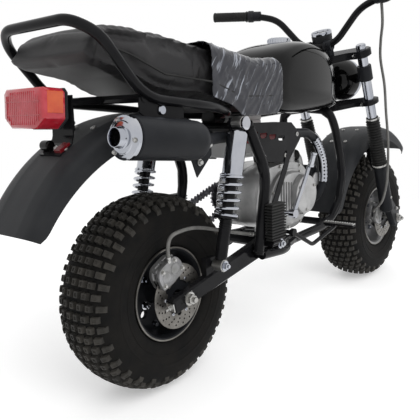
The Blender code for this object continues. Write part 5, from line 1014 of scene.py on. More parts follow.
def make_footpegs(ribs):
    """Folded footpegs with deep rubber ribs."""
    for side in (-1, 1):
        name = "footpeg_" + SIDES[side]
        plane = side * (UPRIGHT_HALF + 0.014 + 0.012 + 0.004)
        place = placed([(0.25, 0.545)], plane)[0]
        rib = 0.1 / ribs
        block(place, (0.058, 0.016, 0.096))
        for index in range(ribs):
            z = place.z - 0.05 + rib * (index + 0.5)
            wide = 0.068 if 0 < index < ribs - 1 else 0.062
            block((place.x, place.y, z), (wide, 0.024, rib * 0.62))
        stand_in(name + "_rubber", name, bevel=0.0016)
        inner = side * (ARM_OUTER + 0.0015 + 0.01 + 0.0003)
        low = place.z - 0.05
        block((place.x, (plane + inner) / 2, low - 0.006), (0.0306, abs(plane - inner), 0.024))
        pin = vec(place.x, plane, low - 0.006)
        turned(mm(6, -18, 6, 18), aimed(pin, (1, 0, 0)), 20)
        stand_in(name + "_bracket", name, PAINT, bevel=0.0015)


# Bodywork
SEAT_TOP = ((-0.225, 1.15), (-0.19, 1.2), (-0.06, 1.205), (0.08, 1.185), (0.24, 1.14), (0.32, 1.15), (0.342, 1.13))
SEAT_BASE = ((0.342, 0.962), (0.26, 0.956), (0.18, 0.956), (0.085, 1.002), (-0.05, 1.026), (-0.13, 1.078),
    (-0.225, 1.118))
SEAT_HALF = 0.14
TANK = ((0.345, 0.958), (0.64, 0.958), (0.655, 1.01), (0.655, 1.11), (0.61, 1.205), (0.52, 1.245), (0.42, 1.225),
    (0.35, 1.15))
TANK_HALF = 0.12
GUARD_SECTION = ((-1, -0.62), (-0.992, -0.42), (-0.985, -0.26), (-0.94, -0.155), (-0.87, -0.08), (-0.72, -0.03),
    (-0.5, 0), (-0.46, 0.006), (-0.42, 0.002), (-0.16, 0.01), (0, 0.012))


def make_tank():
    """Smooth tank with its cap."""
    outline = smooth_outline(flat(TANK), 5)
    centre = vec(0.5 * WHEELBASE, 0, 1.09 * FRAME_HEIGHT)
    rings = []
    for step in range(25):
        across = -1 + step / 12
        bulge = (1 - abs(across) ** 3.2) ** 0.36 if abs(across) < 1 else 0
        share = 0.62 + 0.385 * bulge
        rings.append([vec(centre.x + (x - centre.x) * share, across * TANK_HALF * 0.985, centre.z
            + (z - centre.z) * (share if z > centre.z - 0.05 else min(1, share + 0.06))) for x, z in outline])
    skin(rings)
    stand_in("tank_shell", "fuel_tank", smooth=50)
    top = vec(0.5 * WHEELBASE, 0, 1.235 * FRAME_HEIGHT)
    turned(mm(41, -6, 40.5, 4, 38, 6, 35.5, 6.5, 35, 8, 35, 17, 33.5, 20, 30, 21.5, 12, 21.8, 11, 20.5, 6, 20.5),
        Matrix.Translation(top), 48)
    for angle in around(24):
        rod(top + vec(0.035 * cos(angle), 0.035 * sin(angle), 0.009), top
            + vec(0.035 * cos(angle), 0.035 * sin(angle), 0.0165), 0.0012, 8)
    stand_in("tank_cap", "fuel_tank", "chrome")


def seat_outline(inset=0):
    outline = smooth_outline(flat(SEAT_BASE + SEAT_TOP), 6)
    middle = Vector((sum(x for x, z in outline) / len(outline), sum(z for x, z in outline) / len(outline)))
    made = []
    for x, z in outline:
        pull = Vector((x, z)) - middle
        made.append(tuple(middle + pull * (1 - inset / pull.length)))
    return made


def seat_top(x):
    """Height of the seat's top over a place."""
    return share_at(flat(SEAT_TOP), x)[0]


def inflate(made, cap, pressure=4.0, frames=20, voxel=0.006):
    """Puff a closed mesh with cloth, no further than the cap, and leave the result in its mesh."""
    remesh = made.modifiers.new("remesh", "REMESH")
    remesh.mode = "VOXEL"
    remesh.voxel_size = voxel
    bake(made)
    rest = [vertex.co.copy() for vertex in made.data.vertices]
    cloth = made.modifiers.new("cloth", "CLOTH")
    cloth.settings.use_pressure = True
    cloth.settings.uniform_pressure_force = pressure
    cloth.settings.effector_weights.gravity = 0
    cloth.settings.tension_stiffness = 40
    cloth.settings.compression_stiffness = 40
    cloth.point_cache.frame_start = 1
    cloth.point_cache.frame_end = frames
    for frame_number in range(1, frames + 1):
        bpy.context.scene.frame_set(frame_number)
    bake(made)
    bpy.context.scene.frame_set(1)
    for vertex, start in zip(made.data.vertices, rest):
        move = vertex.co - start
        if move.length > cap:
            vertex.co = start + move.normalized() * cap


def bake(made):
    """Put an object's modifiers into its mesh."""
    bpy.context.view_layer.update()
    evaluated = made.evaluated_get(bpy.context.evaluated_depsgraph_get())
    mesh = bpy.data.meshes.new_from_object(evaluated)
    made.modifiers.clear()
    old = made.data
    made.data = mesh
    bpy.data.meshes.remove(old)


def make_seat(rib_pitch):
    """Padded seat: ribbed dark cover, a seam round its top and a smoother front."""
    levels = ((-0.9, 0.9), (-0.985, 0.965), (-1, 0.985), (-0.975, 1), (0.975, 1), (1, 0.985), (0.985, 0.965),
        (0.9, 0.9))
    inset = 0.01
    stepped(seat_outline(inset), [(across * (SEAT_HALF - inset), share) for across, share in levels])
    made = mesh_object("seat_cover")
    inflate(made, 0.009)
    for vertex in made.data.vertices:
        x, y, z = vertex.co
        base = seat_base(x)
        vertex.co.z = max(z, base)
        rim = abs(y) / SEAT_HALF
        height = z - base
        if height > 0.03:
            fade = min(1, (height - 0.03) / 0.02)
            rear = 1 / (1 + exp((x - 0.165) / 0.01))
            wave = 0.5 + 0.5 * cos(2 * pi * x / rib_pitch)
            groove = -0.0032 * (1 - wave) ** 4 * rear * min(1, max(0, (0.93 - rim) / 0.12))
            wrinkle = 0.0022 * noise.noise(vec(x * 55 + y * 26, y * 14, 3.1)) * (1 - rear)
            wrinkle += 0.0011 * noise.noise(vec(x * 120, y * 60, z * 40)) * (1 - rear)
            vertex.co.z += (groove + wrinkle) * fade
            if rim > 0.9:
                vertex.co.y -= copysign(0.0026 * (1 - wave) ** 4 * rear * fade, y)
        seam = exp(-((height - 0.04) / 0.0035) ** 2)
        if rim > 0.8:
            vertex.co.y -= copysign(0.0026 * seam, y)
    made.data.transform(STANCE)
    made.data.materials.clear()
    made.data.materials.append(finish("seat_vinyl"))
    made.data.shade_smooth()
    modifier = made.modifiers.new("smooth_skin", "SUBSURF")
    modifier.levels = 1
    modifier.render_levels = 1
    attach(made, "frame")
    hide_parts("seat")
    for side in (-1, 1):
        points = [vec(x, side * (SEAT_HALF - 0.0005), seat_base(x) + 0.0385)
            for x in (step / 40 * 0.57 - 0.215 for step in range(41))]
        tube(points, 0.0022, 0, 8)
    piece("seat_piping", "frame", "seat_vinyl", "black_rubber", smooth=60)


def seat_base(x):
    return share_at([(-0.27, 0.78), (-0.153, 0.751), (-0.059, 0.7155), (0.1, 0.702), (0.21, 0.6692), (0.31, 0.6692),
        (0.41, 0.6734)], x)[0]


def make_seat_film():
    """Wrinkled clear film stretched over the front of the seat."""
    first, last, columns, rows = 0.095, 0.404, 90, 110
    rings = []
    length = 0
    for column in range(columns + 1):
        x = first + (last - first) * column / columns
        top = seat_top(x) + 0.003
        drop = min(1, max(0, (x - 0.17) / 0.05))
        bottom = seat_base(x) + 0.004 - 0.014 * drop * drop * (3 - 2 * drop) + 0.046 * max(0,
            (x - 0.356) / 0.048) ** 2
        half = SEAT_HALF - 0.001 - 0.012 * max(0, (x - 0.385) / 0.02) ** 2
        corner = 0.026
        wall = top - corner - bottom
        bend = corner * pi / 2
        flat_top = 2 * (half - corner)
        total = 2 * wall + 2 * bend + flat_top
        length = max(length, total)
        ring = []
        for row in range(rows + 1):
            run = total * row / rows
            mirrored = run > total / 2
            near = total - run if mirrored else run
            if near < wall:
                y, z, out = half, bottom + near, vec(0, 1, 0)
            elif near < wall + bend:
                angle = (near - wall) / corner
                y, z = half - corner + corner * cos(angle), top - corner + corner * sin(angle)
                out = vec(0, cos(angle), sin(angle))
            else:
                y, z, out = half - corner - (near - wall - bend), top, vec(0, 0, 1)
            side = 1 if mirrored else -1
            out.y *= side
            place = vec(x, side * y, z)
            fold = noise.noise(vec(x * 16 + near * 22, near * 5, 1.7 * side))
            crease = 1 - abs(noise.noise(vec(x * 30 - near * 34, near * 9 + x * 8, 5.1 * side)))
            fine = noise.noise(vec(x * 95 + near * 60, near * 45, 9.3))
            ring.append(place + out * (0.0016 + 0.0014 * fold + 0.0022 * crease ** 8 + 0.0006 * fine))
        rings.append(ring)
    skin(rings, caps=False, wrap=False)
    # The clear_film finish paints white highlight streaks on the film.
    made = piece("seat_film", "frame", "seat_vinyl", "clear_film", smooth=80)
    modifier = made.modifiers.new("film_thickness", "SOLIDIFY")
    modifier.thickness = 0.0005


def guard_ring(half, radius, thickness, squeeze):
    outer = [(across * half, radius + drop * half * squeeze) for across, drop in GUARD_SECTION]
    outer += [(-across, height) for across, height in reversed(outer[:-1])]
    inner = []
    for across, height in outer:
        inner.append((across * (1 - thickness / half) if abs(across) > half * 0.85 else across, height
            - (0 if abs(across) > half * 0.97 else thickness)))
    return outer + list(reversed(inner))


def make_guard(name, body, centre, radius, angles, bolts):
    """Mudguard shell with a raised middle, rolled sides and its bolts."""
    rings = []
    for step in range(49):
        share = step / 48
        angle = radians(angles[0] + (angles[1] - angles[0]) * share)
        squeeze = 0.55 + 0.45 * sin(pi * min(1, max(0, share * 0.9 + 0.05)))
        end = min(share, 1 - share) * 24
        narrow = 1 - 0.1 * max(0, 1 - end) ** 2
        spoke = vec(cos(angle), 0, sin(angle))
        section = guard_ring(0.088 * narrow, radius, 0.0032, squeeze)
        rings.append([centre + spoke * height + vec(0, across, 0) for across, height in section])
    skin(rings)
    stand_in(name + "_shell", name, smooth=45)
    for angle, across in bolts:
        spoke = vec(cos(radians(angle)), 0, sin(radians(angle)))
        screw(centre + spoke * (radius + 0.0002) + vec(0, across, 0), spoke, 0.013, 0.0035)
    piece(name + "_screws", body, "black_plastic", "zinc_steel")


def make_guards():
    make_guard("rear_mudguard", "frame", vec(-0.02, 0, 0.9644 * FRAME_HEIGHT - 0.4), 0.4, (60, 154),
        ((112, 0.03), (112, -0.03), (124, 0.03), (124, -0.03)))
    make_guard("front_mudguard", "steering", FRONT_AXLE - at(18, 0, 6), 0.358, (46, 168),
        ((104, 0.028), (104, -0.028), (120, 0.028), (120, -0.028)))
    for side in (-1, 1):
        start = leg_point(GAITER_BOTTOM - 0.0104, side) - vec(0, side * 0.0184, 0)
        middle = vec(start.x + 0.004, side * 0.09, start.z + 0.052)
        end = vec(start.x + 0.026, side * 0.0866, start.z + 0.1144)
        section = mm(-13, -2, 13, -2, 13, 2, -13, 2)
        tube([start, middle, end], 0, 0.012, 0, 4, section)
        for share in (0.8, 0.95):
            spot = middle.lerp(end, share) + vec(0, side * 0.0022, 0)
            hex_bolt(spot, (0, side, 0), 0.01, 0.005, 0.001)
    stand_in("front_guard_stays", "front_mudguard", "frame_paint")


# Fork
GAITER_TOP = -0.077
AXLE_ALONG = FORK_UP.dot(FRONT_AXLE - HEAD_BASE)
GAITER_BOTTOM = AXLE_ALONG + 0.25
SLIDER_END = AXLE_ALONG + 0.063
LUG_PLANE = FORK_HALF + 0.0195 - 0.013


def leg_point(along, side):
    return HEAD_BASE + FORK_AHEAD * FORK_OFFSET + FORK_UP * along + vec(0, side * FORK_HALF, 0)


def make_fork(side, ribs):
    """One fork leg: ribbed gaiter with its clamps, and the lower leg with its axle lug and screws."""
    name = "fork_leg_" + SIDES[side]
    length = GAITER_TOP - GAITER_BOTTOM
    profile = mm(18, 0, 26.8, 1, 26.8, 8)
    pitch = (length - 0.02) / ribs
    for rib in range(ribs):
        base = 0.009 + rib * pitch
        grow = 0.0272 - 0.0034 * (rib / ribs) ** 1.5
        profile += [(grow - 0.0056, base), (grow - 0.0048, base + pitch * 0.14), (grow - 0.0006, base + pitch * 0.42),
            (grow, base + pitch * 0.52), (grow - 0.0006, base + pitch * 0.62), (grow - 0.0048, base + pitch * 0.9)]
    profile += [(0.0205, length - 0.011), (0.0205, length - 0.001), (0.0185, length)]
    turned(profile, aimed(leg_point(GAITER_BOTTOM, side), FORK_UP), 48)
    stand_in(name + "_gaiter", name, "black_rubber", 55)
    for place, radius, wide in ((GAITER_BOTTOM + 0.0045, 0.0272, 0.007), (GAITER_TOP - 0.0055, 0.0209, 0.006)):
        middle = leg_point(place, side)
        ringed([(radius - 0.001, -wide / 2), (radius, -wide / 2), (radius + 0.0004, -wide / 3),
            (radius + 0.0004, wide / 3), (radius, wide / 2), (radius - 0.001, wide / 2)], aimed(middle, FORK_UP), 48)
        ear = middle + vec(0, side * (radius + 0.001), 0)
        block((0, 0, 0.0015), (0.01, 0.005, 0.005), aimed(ear, (0, side, 0), FORK_UP))
    piece(name + "_clamps", "steering", "black_plastic", "zinc_steel")
    length = GAITER_BOTTOM - SLIDER_END
    turned([(0.0215, -0.004), (0.0245, 0), (0.025, 0.004), (0.0244, 0.03), (0.0236, 0.09), (0.023, length * 0.93),
        (0.0234, length * 0.945), (0.0258, length * 0.95), (0.026, length * 0.965), (0.026, length - 0.002),
        (0.0245, length)], aimed(leg_point(SLIDER_END, side), FORK_UP), 48)
    low = FRONT_AXLE + at(10.4, 0, -26)
    high = leg_point(SLIDER_END, side) + FORK_UP * 0.05
    outline = smooth_outline([(low.x - 0.0312, low.z + 0.002), (low.x - 0.012, low.z),
        (low.x + 0.0104, low.z + 0.0052), (low.x + 0.0156, low.z + 0.0312), (high.x + 0.015, high.z),
        (high.x - 0.015, high.z - 0.01)], 6)
    lug = ((-0.5, 0.93), (-0.42, 0.985), (-0.3, 1), (0.3, 1), (0.42, 0.985), (0.5, 0.93))
    stepped(outline, [(side * LUG_PLANE + along * 0.026, share) for along, share in lug])
    stand_in(name + "_slider", name, "black_muffler")
    spot = leg_point(SLIDER_END + 0.052, side)
    out = vec(0, side, 0)
    for up in (-0.012, 0.014):
        hex_bolt(FRONT_AXLE + vec(-0.012 - up * 0.2, side * (LUG_PLANE + 0.0132), up + 0.026), out, 0.01, 0.005,
            0.001)
    screw(spot + out * 0.024, out, 0.01, 0.003)
    piece(name + "_screws", "steering", "black_plastic", "zinc_steel")


def make_clamps():
    """Fork clamps, bright stanchions, pinch bolts and the steering nut."""
    for side in (-1, 1):
        rod(leg_point(0.18, side), leg_point(GAITER_TOP - 0.004, side), 0.0167, 48)
        top = leg_point(0.18, side)
        turned(mm(15, -1, 15, 2, 13, 3.5), aimed(top, FORK_UP), 40)
    piece("stanchions", "steering", "chrome")
    for along, thickness in ((-0.018, 0.015), (HEAD_LENGTH + 0.015, 0.0246)):
        half, arm, hub = FORK_HALF, 0.0265, 0.026
        outline = [(hub * 1.3, -hub * 0.5), (FORK_OFFSET + arm * 0.5, -half * 0.6),
            (FORK_OFFSET + arm, -half - arm * 0.4), (FORK_OFFSET, -half - arm),
            (FORK_OFFSET - arm, -half - arm * 0.4), (FORK_OFFSET - arm * 1.2, -half * 0.7), (-hub, -hub)]
        outline += [(across, -above) for across, above in reversed(outline)]
        outline = smooth_outline([(across * 1.02, above * 1.02) for across, above in outline], 5)
        matrix = aimed(HEAD_BASE + FORK_UP * along, FORK_UP)
        rings = []
        for depth, share in ((-0.5, 0.975), (-0.4, 1), (0.4, 1), (0.5, 0.975)):
            rings.append([matrix @ vec(across * share, above * share, depth * thickness) for across,
                above in outline])
        skin(rings)
    stand_in("clamp_plates", "fork_clamps", "frame_paint")
    crown = HEAD_BASE + FORK_UP * (HEAD_LENGTH + 0.0275)
    hex_bolt(crown, FORK_UP, 0.032, 0.012, 0.003)
    for side in (-1, 1):
        for along in (-0.018, HEAD_LENGTH + 0.015):
            spot = leg_point(along, side) - FORK_AHEAD * 0.03 - vec(0, side * 0.012, 0)
            hex_bolt(spot, vec(0, -side, 0), 0.011, 0.006, 0.001)
    stem = HEAD_BASE + FORK_UP * -0.0305
    hex_bolt(stem, -FORK_UP, 0.03, 0.006, 0.002)
    piece("clamp_bolts", "steering", "chrome", "zinc_steel")


# Handlebar
BAR_SHARES = ((0, 0, 0), (0, 0.16, 0), (-0.1, 0.42, 0.8), (-0.25, 0.62, 0.95), (-0.75, 1, 1))
BAR_BASE = HEAD_BASE + FORK_UP * (HEAD_LENGTH + 0.027 + 0.034)


def bar_route(side):
    return [BAR_BASE + vec(back * 0.13, side * across * 0.37, up * 0.13) for back, across, up in BAR_SHARES]


def bar_end(side):
    route = bar_route(side)
    return route[-1], (route[-1] - route[-2]).normalized()


def make_handlebar():
    """Handlebar with its risers, grips, levers and switch housings."""
    route = list(reversed(bar_route(-1)))[:-1] + bar_route(1)[1:]
    tube(route, 0.0111, 0.044, 32, 8)
    stand_in("bar_tube", "handlebar", smooth=40)
    for side in (-1, 1):
        place = BAR_BASE + vec(0, side * 0.038, 0)
        turned(mm(13.5, -33.5, 13.5, -6, 15, -4), aimed(place, FORK_UP), 32)
        clamp = aimed(place, (0, 1, 0), FORK_UP)
        ringed(mm(11.2, -14, 16.5, -14, 17.5, -12.5, 17.5, 12.5, 16.5, 14, 11.2, 14), clamp, 40)
        for ahead in (-1, 1):
            spot = place + FORK_AHEAD * (ahead * 0.0165) + FORK_UP * 0.006
            screw(spot, FORK_UP, 0.0085, 0.008)
    stand_in("bar_risers", "handlebar", "black_muffler")
    for side in (-1, 1):
        name = "grip_" + SIDES[side]
        end, direction = bar_end(side)
        profile = mm(12.5, 0, 18.8, 1, 19, 3, 18, 4.5) + ribs(18, 0.006, mm(15.2, 6, 16.3, 7, 16.3, 10.2, 15.2, 11.2))
        profile += mm(16, 115.5, 16.8, 117.5, 16.8, 121.5, 15, 123.8, 6, 124)
        turned(profile, aimed(end - direction * 0.12, direction), 40)
        stand_in(name + "_rubber", name)
        inner = end - direction * 0.168
        ahead = direction.cross(vec(0, 0, side)).normalized()
        ringed(mm(11.2, 0, 15.8, 0, 16.8, 1, 16.8, 39, 15.8, 40, 11.2, 40), aimed(inner, direction), 36)
        start = inner + direction * 0.02
        block((0, 0, 0.021), (0.016, 0.026, 0.014), aimed(start, ahead, direction))
        stand_in("lever_perch_" + SIDES[side], "handlebar", "black_muffler", bevel=0.0012)
        knee = start + ahead * 0.0374 + direction * 0.012
        tip = knee + direction * 0.1353 - ahead * 0.0034
        section = [(0.007 * cos(a), 0.004 * sin(a)) for a in around(16)]
        tube([start + ahead * 0.014, knee, knee.lerp(tip, 0.5) + ahead * 0.004, tip], 0, 0.03, 0, 8, section,
            lambda share: 1.12 - 0.25 * share)
        turned(mm(4.5, -6, 8.5, -4, 9.5, 0, 8.5, 4, 4.5, 6), aimed(tip, direction), 20)
        screw(start + ahead * 0.026 + at(0, 0, 7.5), (0, 0, 1), 0.01, 0.003)
        stand_in("hand_lever_" + SIDES[side], "handlebar", "cast_aluminium", 45)
        housing = end - direction * 0.1225
        ringed(mm(11.2, -20, 18.5, -20, 20, -18, 20, -3, 19, -1, 11.2, -1), aimed(housing, direction), 36)
        piece("switch_housing_" + SIDES[side], "steering", PAINT, "black_plastic")


def make_headlamp():
    """Headlamp bowl, chromed rim, ribbed clear lens and ears."""
    centre = HEAD_BASE + FORK_UP * 0.085 + at(105, 0, 0)
    matrix = aimed(centre, (1, 0, 0))
    bowl = smooth_line(mm(22.5, -55.6, 40, -50, 56, -38, 69, -13, 73.8, 8, 74.4, 18), 5)
    turned(bowl, matrix, 72)
    stand_in("headlamp_bowl", "headlamp", smooth=50)
    ringed(mm(66.5, 17, 74.4, 17, 75, 20, 75, 32, 73.8, 35.5, 70.5, 36.8, 67, 36, 66.5, 34), matrix, 80)
    stand_in("headlamp_rim", "headlamp", "chrome", 40)
    lens = [(0.0668, 0.033)] + [(0.0668 * cos(a), 0.0332 + 0.0115 * sin(a))
        for a in (pi / 2 * step / 10 for step in range(10))]
    turned(lens, matrix, 64)
    for index in range(-5, 6):
        across = index * 0.0115
        reach = sqrt(max(0, 0.063 ** 2 - across ** 2))
        points = []
        for step in range(13):
            up = -reach + 2 * reach * step / 12
            bow = 0.0332 + 0.0115 * sqrt(max(0, 1 - (up * up + across * across) / 0.0668 ** 2)) - 0.0004
            points.append(matrix @ vec(up, across, bow))
        tube(points, 0.0011, 0, 6)
    stand_in("headlamp_lens", "headlamp", "clear_lens", 50)
    for side in (-1, 1):
        leg = leg_point(0.085, side)
        ringed(mm(17, -25, 22.6, -25, 23.8, -23, 23.8, 23, 22.6, 25, 17, 25), aimed(leg, FORK_UP), 40)
        route = [leg + at(16.5, 0, 0), vec(centre.x, side * 0.068, centre.z)]
        section = mm(-2, -18, 2, -18, 2, 18, -2, 18)
        tube(route, 0, 0, section=section)
        out = vec(0, side, 0)
        hex_bolt(vec(centre.x, side * 0.0735, centre.z), out, 0.014, 0.007)
    stand_in("headlamp_ears", "headlamp", "black_muffler")


DIGITS = {"0": "abcdef", "2": "abged", "4": "fgbc", "6": "afgedc", "8": "abcdefg", "1": "bc"}
STROKES = {"a": ((0, 2), (1, 2)), "b": ((1, 1), (1, 2)), "c": ((1, 0), (1, 1)), "d": ((0, 0), (1, 0)),
    "e": ((0, 0), (0, 1)), "f": ((0, 1), (0, 2)), "g": ((0, 1), (1, 1))}


def make_instrument():
    """Round instrument: pod, bright bezel, white dial with plain numbers and a needle on its hub."""
    top = HEAD_BASE + FORK_UP * (HEAD_LENGTH + 0.027)
    base = top + FORK_AHEAD * (FORK_OFFSET * 0.9)
    centre = base + FORK_UP * 0.05
    matrix = aimed(centre, (-0.35, 0, 1))
    turned(smooth_line(mm(19, -25, 28.5, -19, 33, -10, 34.2, 4, 34.5, 16), 5), matrix, 56)
    rod(base, centre, 0.0086, 24)
    stand_in("instrument_pod", "speedometer", smooth=45)
    ringed(mm(30, 15, 34.5, 15, 35, 17, 35, 22.5, 33.8, 24.8, 31.2, 25, 30, 23.5), matrix, 64)
    stand_in("instrument_bezel", "speedometer", "chrome", 40)
    turned(mm(30.2, 14, 30.2, 17), matrix, 48)
    stand_in("instrument_dial", "speedometer", "white_plastic", 40)
    for index in range(31):
        angle = radians(-135 + 9 * index)
        spoke = vec(-cos(angle), sin(angle), 0)
        near = 0.0235 if index % 5 == 0 else 0.0262
        wide = 0.0011 if index % 5 == 0 else 0.0006
        middle = spoke * (near + 0.0285) / 2 + at(0, 0, 17.3)
        turn = matrix @ Matrix.Translation(middle) @ Matrix.Rotation(atan2(spoke.y, spoke.x), 4, "Z")
        block((0, 0, 0), (0.0285 - near, wide, 0.0006), turn)
    for index, text in enumerate(("0", "20", "40", "60", "80", "100", "120")):
        angle = radians(-135 + 45 * index)
        middle = vec(-cos(angle), sin(angle), 0) * 0.0188
        for place, digit in enumerate(text):
            shift = (place - (len(text) - 1) / 2) * 0.003 - 0.0009
            for stroke in DIGITS[digit]:
                (x0, y0), (x1, y1) = STROKES[stroke]
                across = -(shift + (x0 + x1) / 2 * 0.0018)
                up = ((y0 + y1) / 2 - 1) * 0.0019
                size = (0.0004, abs(x1 - x0) * 0.0018 + 0.0004, 0.0006) if y0 == y1 else (0.0021, 0.0004, 0.0006)
                block((middle.x + up, middle.y + across, 0.0173), size, matrix)
    angle = radians(-135)
    spoke = vec(-cos(angle), sin(angle), 0)
    turn = matrix @ Matrix.Translation(spoke * 0.009 + at(0, 0, 18.8)) @ Matrix.Rotation(atan2(spoke.y, spoke.x), 4,
        "Z")
    block((0, 0, 0), (0.026, 0.001, 0.0008), turn)
    turned(mm(3.5, 17.2, 3.5, 19.2, 2, 20), matrix, 20)
    stand_in("instrument_marks", "speedometer", "dark_bore", 30)


def make_tail_lamp():
    """Lamp housing with a red ribbed lens, amber block, and the bracket's bolts and reflector."""
    place = placed([(-0.218, 0.982)])[0]
    axis = vec(-cos(radians(3.4)), 0, sin(radians(3.4)))
    matrix = aimed(place, axis)
    half_wide, half_tall = 0.07, 0.04
    up_sign = 1 if (matrix.to_3x3() @ vec(1, 0, 0)).z > 0 else -1
    corner = [(-half_tall, -half_wide + 0.025), (-half_tall + 0.02, -half_wide), (half_tall - 0.0083, -half_wide),
        (half_tall, -half_wide + 0.0083)]
    outline = [(up * up_sign, across) for up, across in corner]
    outline += [(up * up_sign, -across) for up, across in reversed(corner)]

    def ring(share, depth, ease=0):
        return [matrix @ vec(up * share + (-ease if up > 0 else ease), across * share, depth) for up,
            across in outline]

    skin([ring(0.93, 0), ring(0.985, 0.002), ring(1, 0.004), ring(1, 0.007), ring(0.975, 0.008), ring(0.9, 0.008)])
    stand_in("tail_lamp_housing", "tail_lamp", "black_plastic")
    skin([ring(0.86, 0.0085), ring(0.975, 0.0085), ring(0.985, 0.05), ring(0.965, 0.056), ring(0.9, 0.0592),
        ring(0.6, 0.06)])
    stand_in("tail_lamp_lens", "tail_lamp", bevel=0.0008, smooth=50)
    for index in range(-8, 9):
        across = index * 0.0068
        reach = half_tall * (0.8 if abs(across) < 0.042 else 0.62)
        block((0, across, 0.06), (2 * reach, 0.0022, 0.001), matrix)
    for up in (-0.013, 0.013):
        block((up * up_sign, 0, 0.0601), (0.0016, half_wide * 1.72, 0.0012), matrix)
    piece("tail_lamp_ribs", "frame", "red_lens", bevel=0.0003, smooth=30)
    for side in (-1, 1):
        block((0.012 * up_sign, side * half_wide * 0.975, 0.031), (0.042, 0.003, 0.036), matrix)
    piece("tail_lamp_amber", "frame", "red_lens", "amber_lens", bevel=0.001, smooth=30)
    front = place + at(30, 0, 0)
    for across in (-0.025, 0.025):
        hex_bolt(front + vec(0.0065, across, -0.028), (1, 0, 0), 0.01, 0.005, 0.0012)
    tail = front + at(-16.5, 0, -82.2)
    drop = (at(-36, 0, -92) - at(0, 0, -72)).normalized()
    face = vec(0, 1, 0).cross(drop).normalized()
    face = face if face.x < 0 else -face
    hex_bolt(tail + face * 0.0018, face, 0.011, 0.005, 0.0012)
    piece("lamp_bracket_bolts", "frame", PAINT, "zinc_steel")
    start = tail + face * 0.0016 + at(0, -22, 0)
    block((0, 0, 0.004), (0.03, 0.022, 0.008), aimed(start, face))
    piece("rear_reflector", "frame", PAINT, "dark_red", bevel=0.0012, smooth=30)
    for index in range(-2, 3):
        block((0, index * 0.0038, 0.0081), (0.026, 0.0014, 0.0008), aimed(start, face))
    piece("reflector_ribs", "frame", PAINT, "dark_red", smooth=30)
    bulb = tail + face * 0.01 + at(0, 14, 0)
    turned(smooth_line(mm(6, 0, 10.5, 1.5, 11.2, 6, 11.2, 22, 10, 26.5, 6, 28), 3), aimed(bulb, (0, 1, 0)), 28)
    block(bulb + at(0, 4, 0) - face * 0.0065, (0.012, 0.01, 0.01))
    piece("plate_lamp", "frame", PAINT, "gloss_black", smooth=40)


def make_caliper(prefix, axle, degrees):
    """Brake caliper in two bolted halves, its pistons' caps, bolts and pads."""
    node = prefix + "_caliper"
    body = next(body for body, nodes in BODIES.items() if node in nodes)
    angle = radians(degrees)
    spoke = vec(cos(angle), 0, sin(angle))
    turn = Matrix((vec(-spoke.z, 0, spoke.x), vec(0, 1, 0), spoke)).transposed().to_4x4()
    matrix = Matrix.Translation(axle + spoke * 0.079 + at(0, -94, 0)) @ turn
    outline = smooth_outline(mm(-38, -24, 38, -24, 39.5, 4, 24, 26.2, -24, 26.2, -39.5, 4), 5)
    outline = [(max(-0.0398, min(0.0398, a)), max(-0.0273, min(0.0273, b))) for a, b in outline]
    for low, high in ((-0.0178, -0.0042), (0.0042, 0.0178)):
        rings = []
        for share, plane in ((0.9, low), (0.985, low + 0.0016), (1, low + 0.004), (1, high - 0.003), (0.98, high)):
            rings.append([matrix @ vec(a * share, plane, b * share) for a, b in outline])
        skin(rings)
    for place in (-0.027, 0, 0.027):
        block((place, 0, 0.0225), (0.01, 0.012, 0.0085), matrix)
    for place in (-0.014, 0.017):
        turned(mm(15, 0, 15, 1.2, 11.5, 2.2, 11.5, 1),
            matrix @ Matrix.Translation((place, -0.0178, -0.001)) @ Matrix.Rotation(pi / 2, 4, "X"), 32)
    stand_in(prefix + "_caliper_body", node, "caliper_metal", bevel=0.0006)
    out = vec(0, -1, 0)
    for a, b in ((-0.0325, -0.014), (0.0325, -0.014), (-0.0225, 0.0185), (0.0225, 0.0185)):
        hex_bolt(matrix @ vec(a, -0.0178, b), out, 0.0085, 0.0045, 0.0008)
    piece(prefix + "_caliper_bolts", body, "cast_aluminium", "zinc_steel", smooth=30)
    for low in (-0.0038, 0.002):
        block((0, low + 0.0009, -0.004), (0.052, 0.0016, 0.034), matrix)
    for end in (-1, 1):
        for half in (-1, 1):
            block((end * 0.0388, half * 0.0063, -0.0065), (0.0018, 0.0062, 0.017), matrix)
    piece(prefix + "_brake_pads", body, "cast_aluminium", "dark_bore", smooth=30)


REAR_HOSE = ((-0.042, -0.11, 0.335), (-0.052, -0.118, 0.375), (-0.04, -0.122, 0.4), (0.02, -0.118, 0.404),
    (0.08, -0.112, 0.394), (0.16, -0.114, 0.372), (0.235, -0.122, 0.352), (0.262, -0.131, 0.346))
FRONT_HOSE = ((0.83, -0.228, 0.93), (0.895, -0.195, 0.88), (0.944, -0.174, 0.826), (0.985, -0.172, 0.742),
    (1.003, -0.172, 0.651), (1.024, -0.172, 0.56), (1.03, -0.172, 0.47), (1.03, -0.168, 0.39), (1.04, -0.148, 0.325),
    (1.056, -0.112, 0.29), (1.09, -0.094, 0.276))


def make_hoses():
    """Braided brake hoses with crimped ends."""
    end, direction = bar_end(-1)
    start = end - direction * 0.148
    for name, body, points in (("rear_brake_hose", "frame", [Vector(point) for point in REAR_HOSE]),
            ("front_brake_hose", "steering", [start] + [Vector(point) for point in FRONT_HOSE])):
        route = [Vector(point) for point in smooth_line(points, 8)]
        tube(route, 0.0045, 0, 14)
        stand_in(name + "_tube", name, smooth=60)
        for tip, inward in ((route[0], route[3]), (route[-1], route[-4])):
            aim = inward - tip
            ringed(mm(4.6, 0, 5.6, 1, 5.6, 6, 5, 7, 5.6, 8, 5.6, 15, 4.6, 16), aimed(tip, aim), 20)
        piece(name + "_crimps", body, "grey_hose", "zinc_steel")


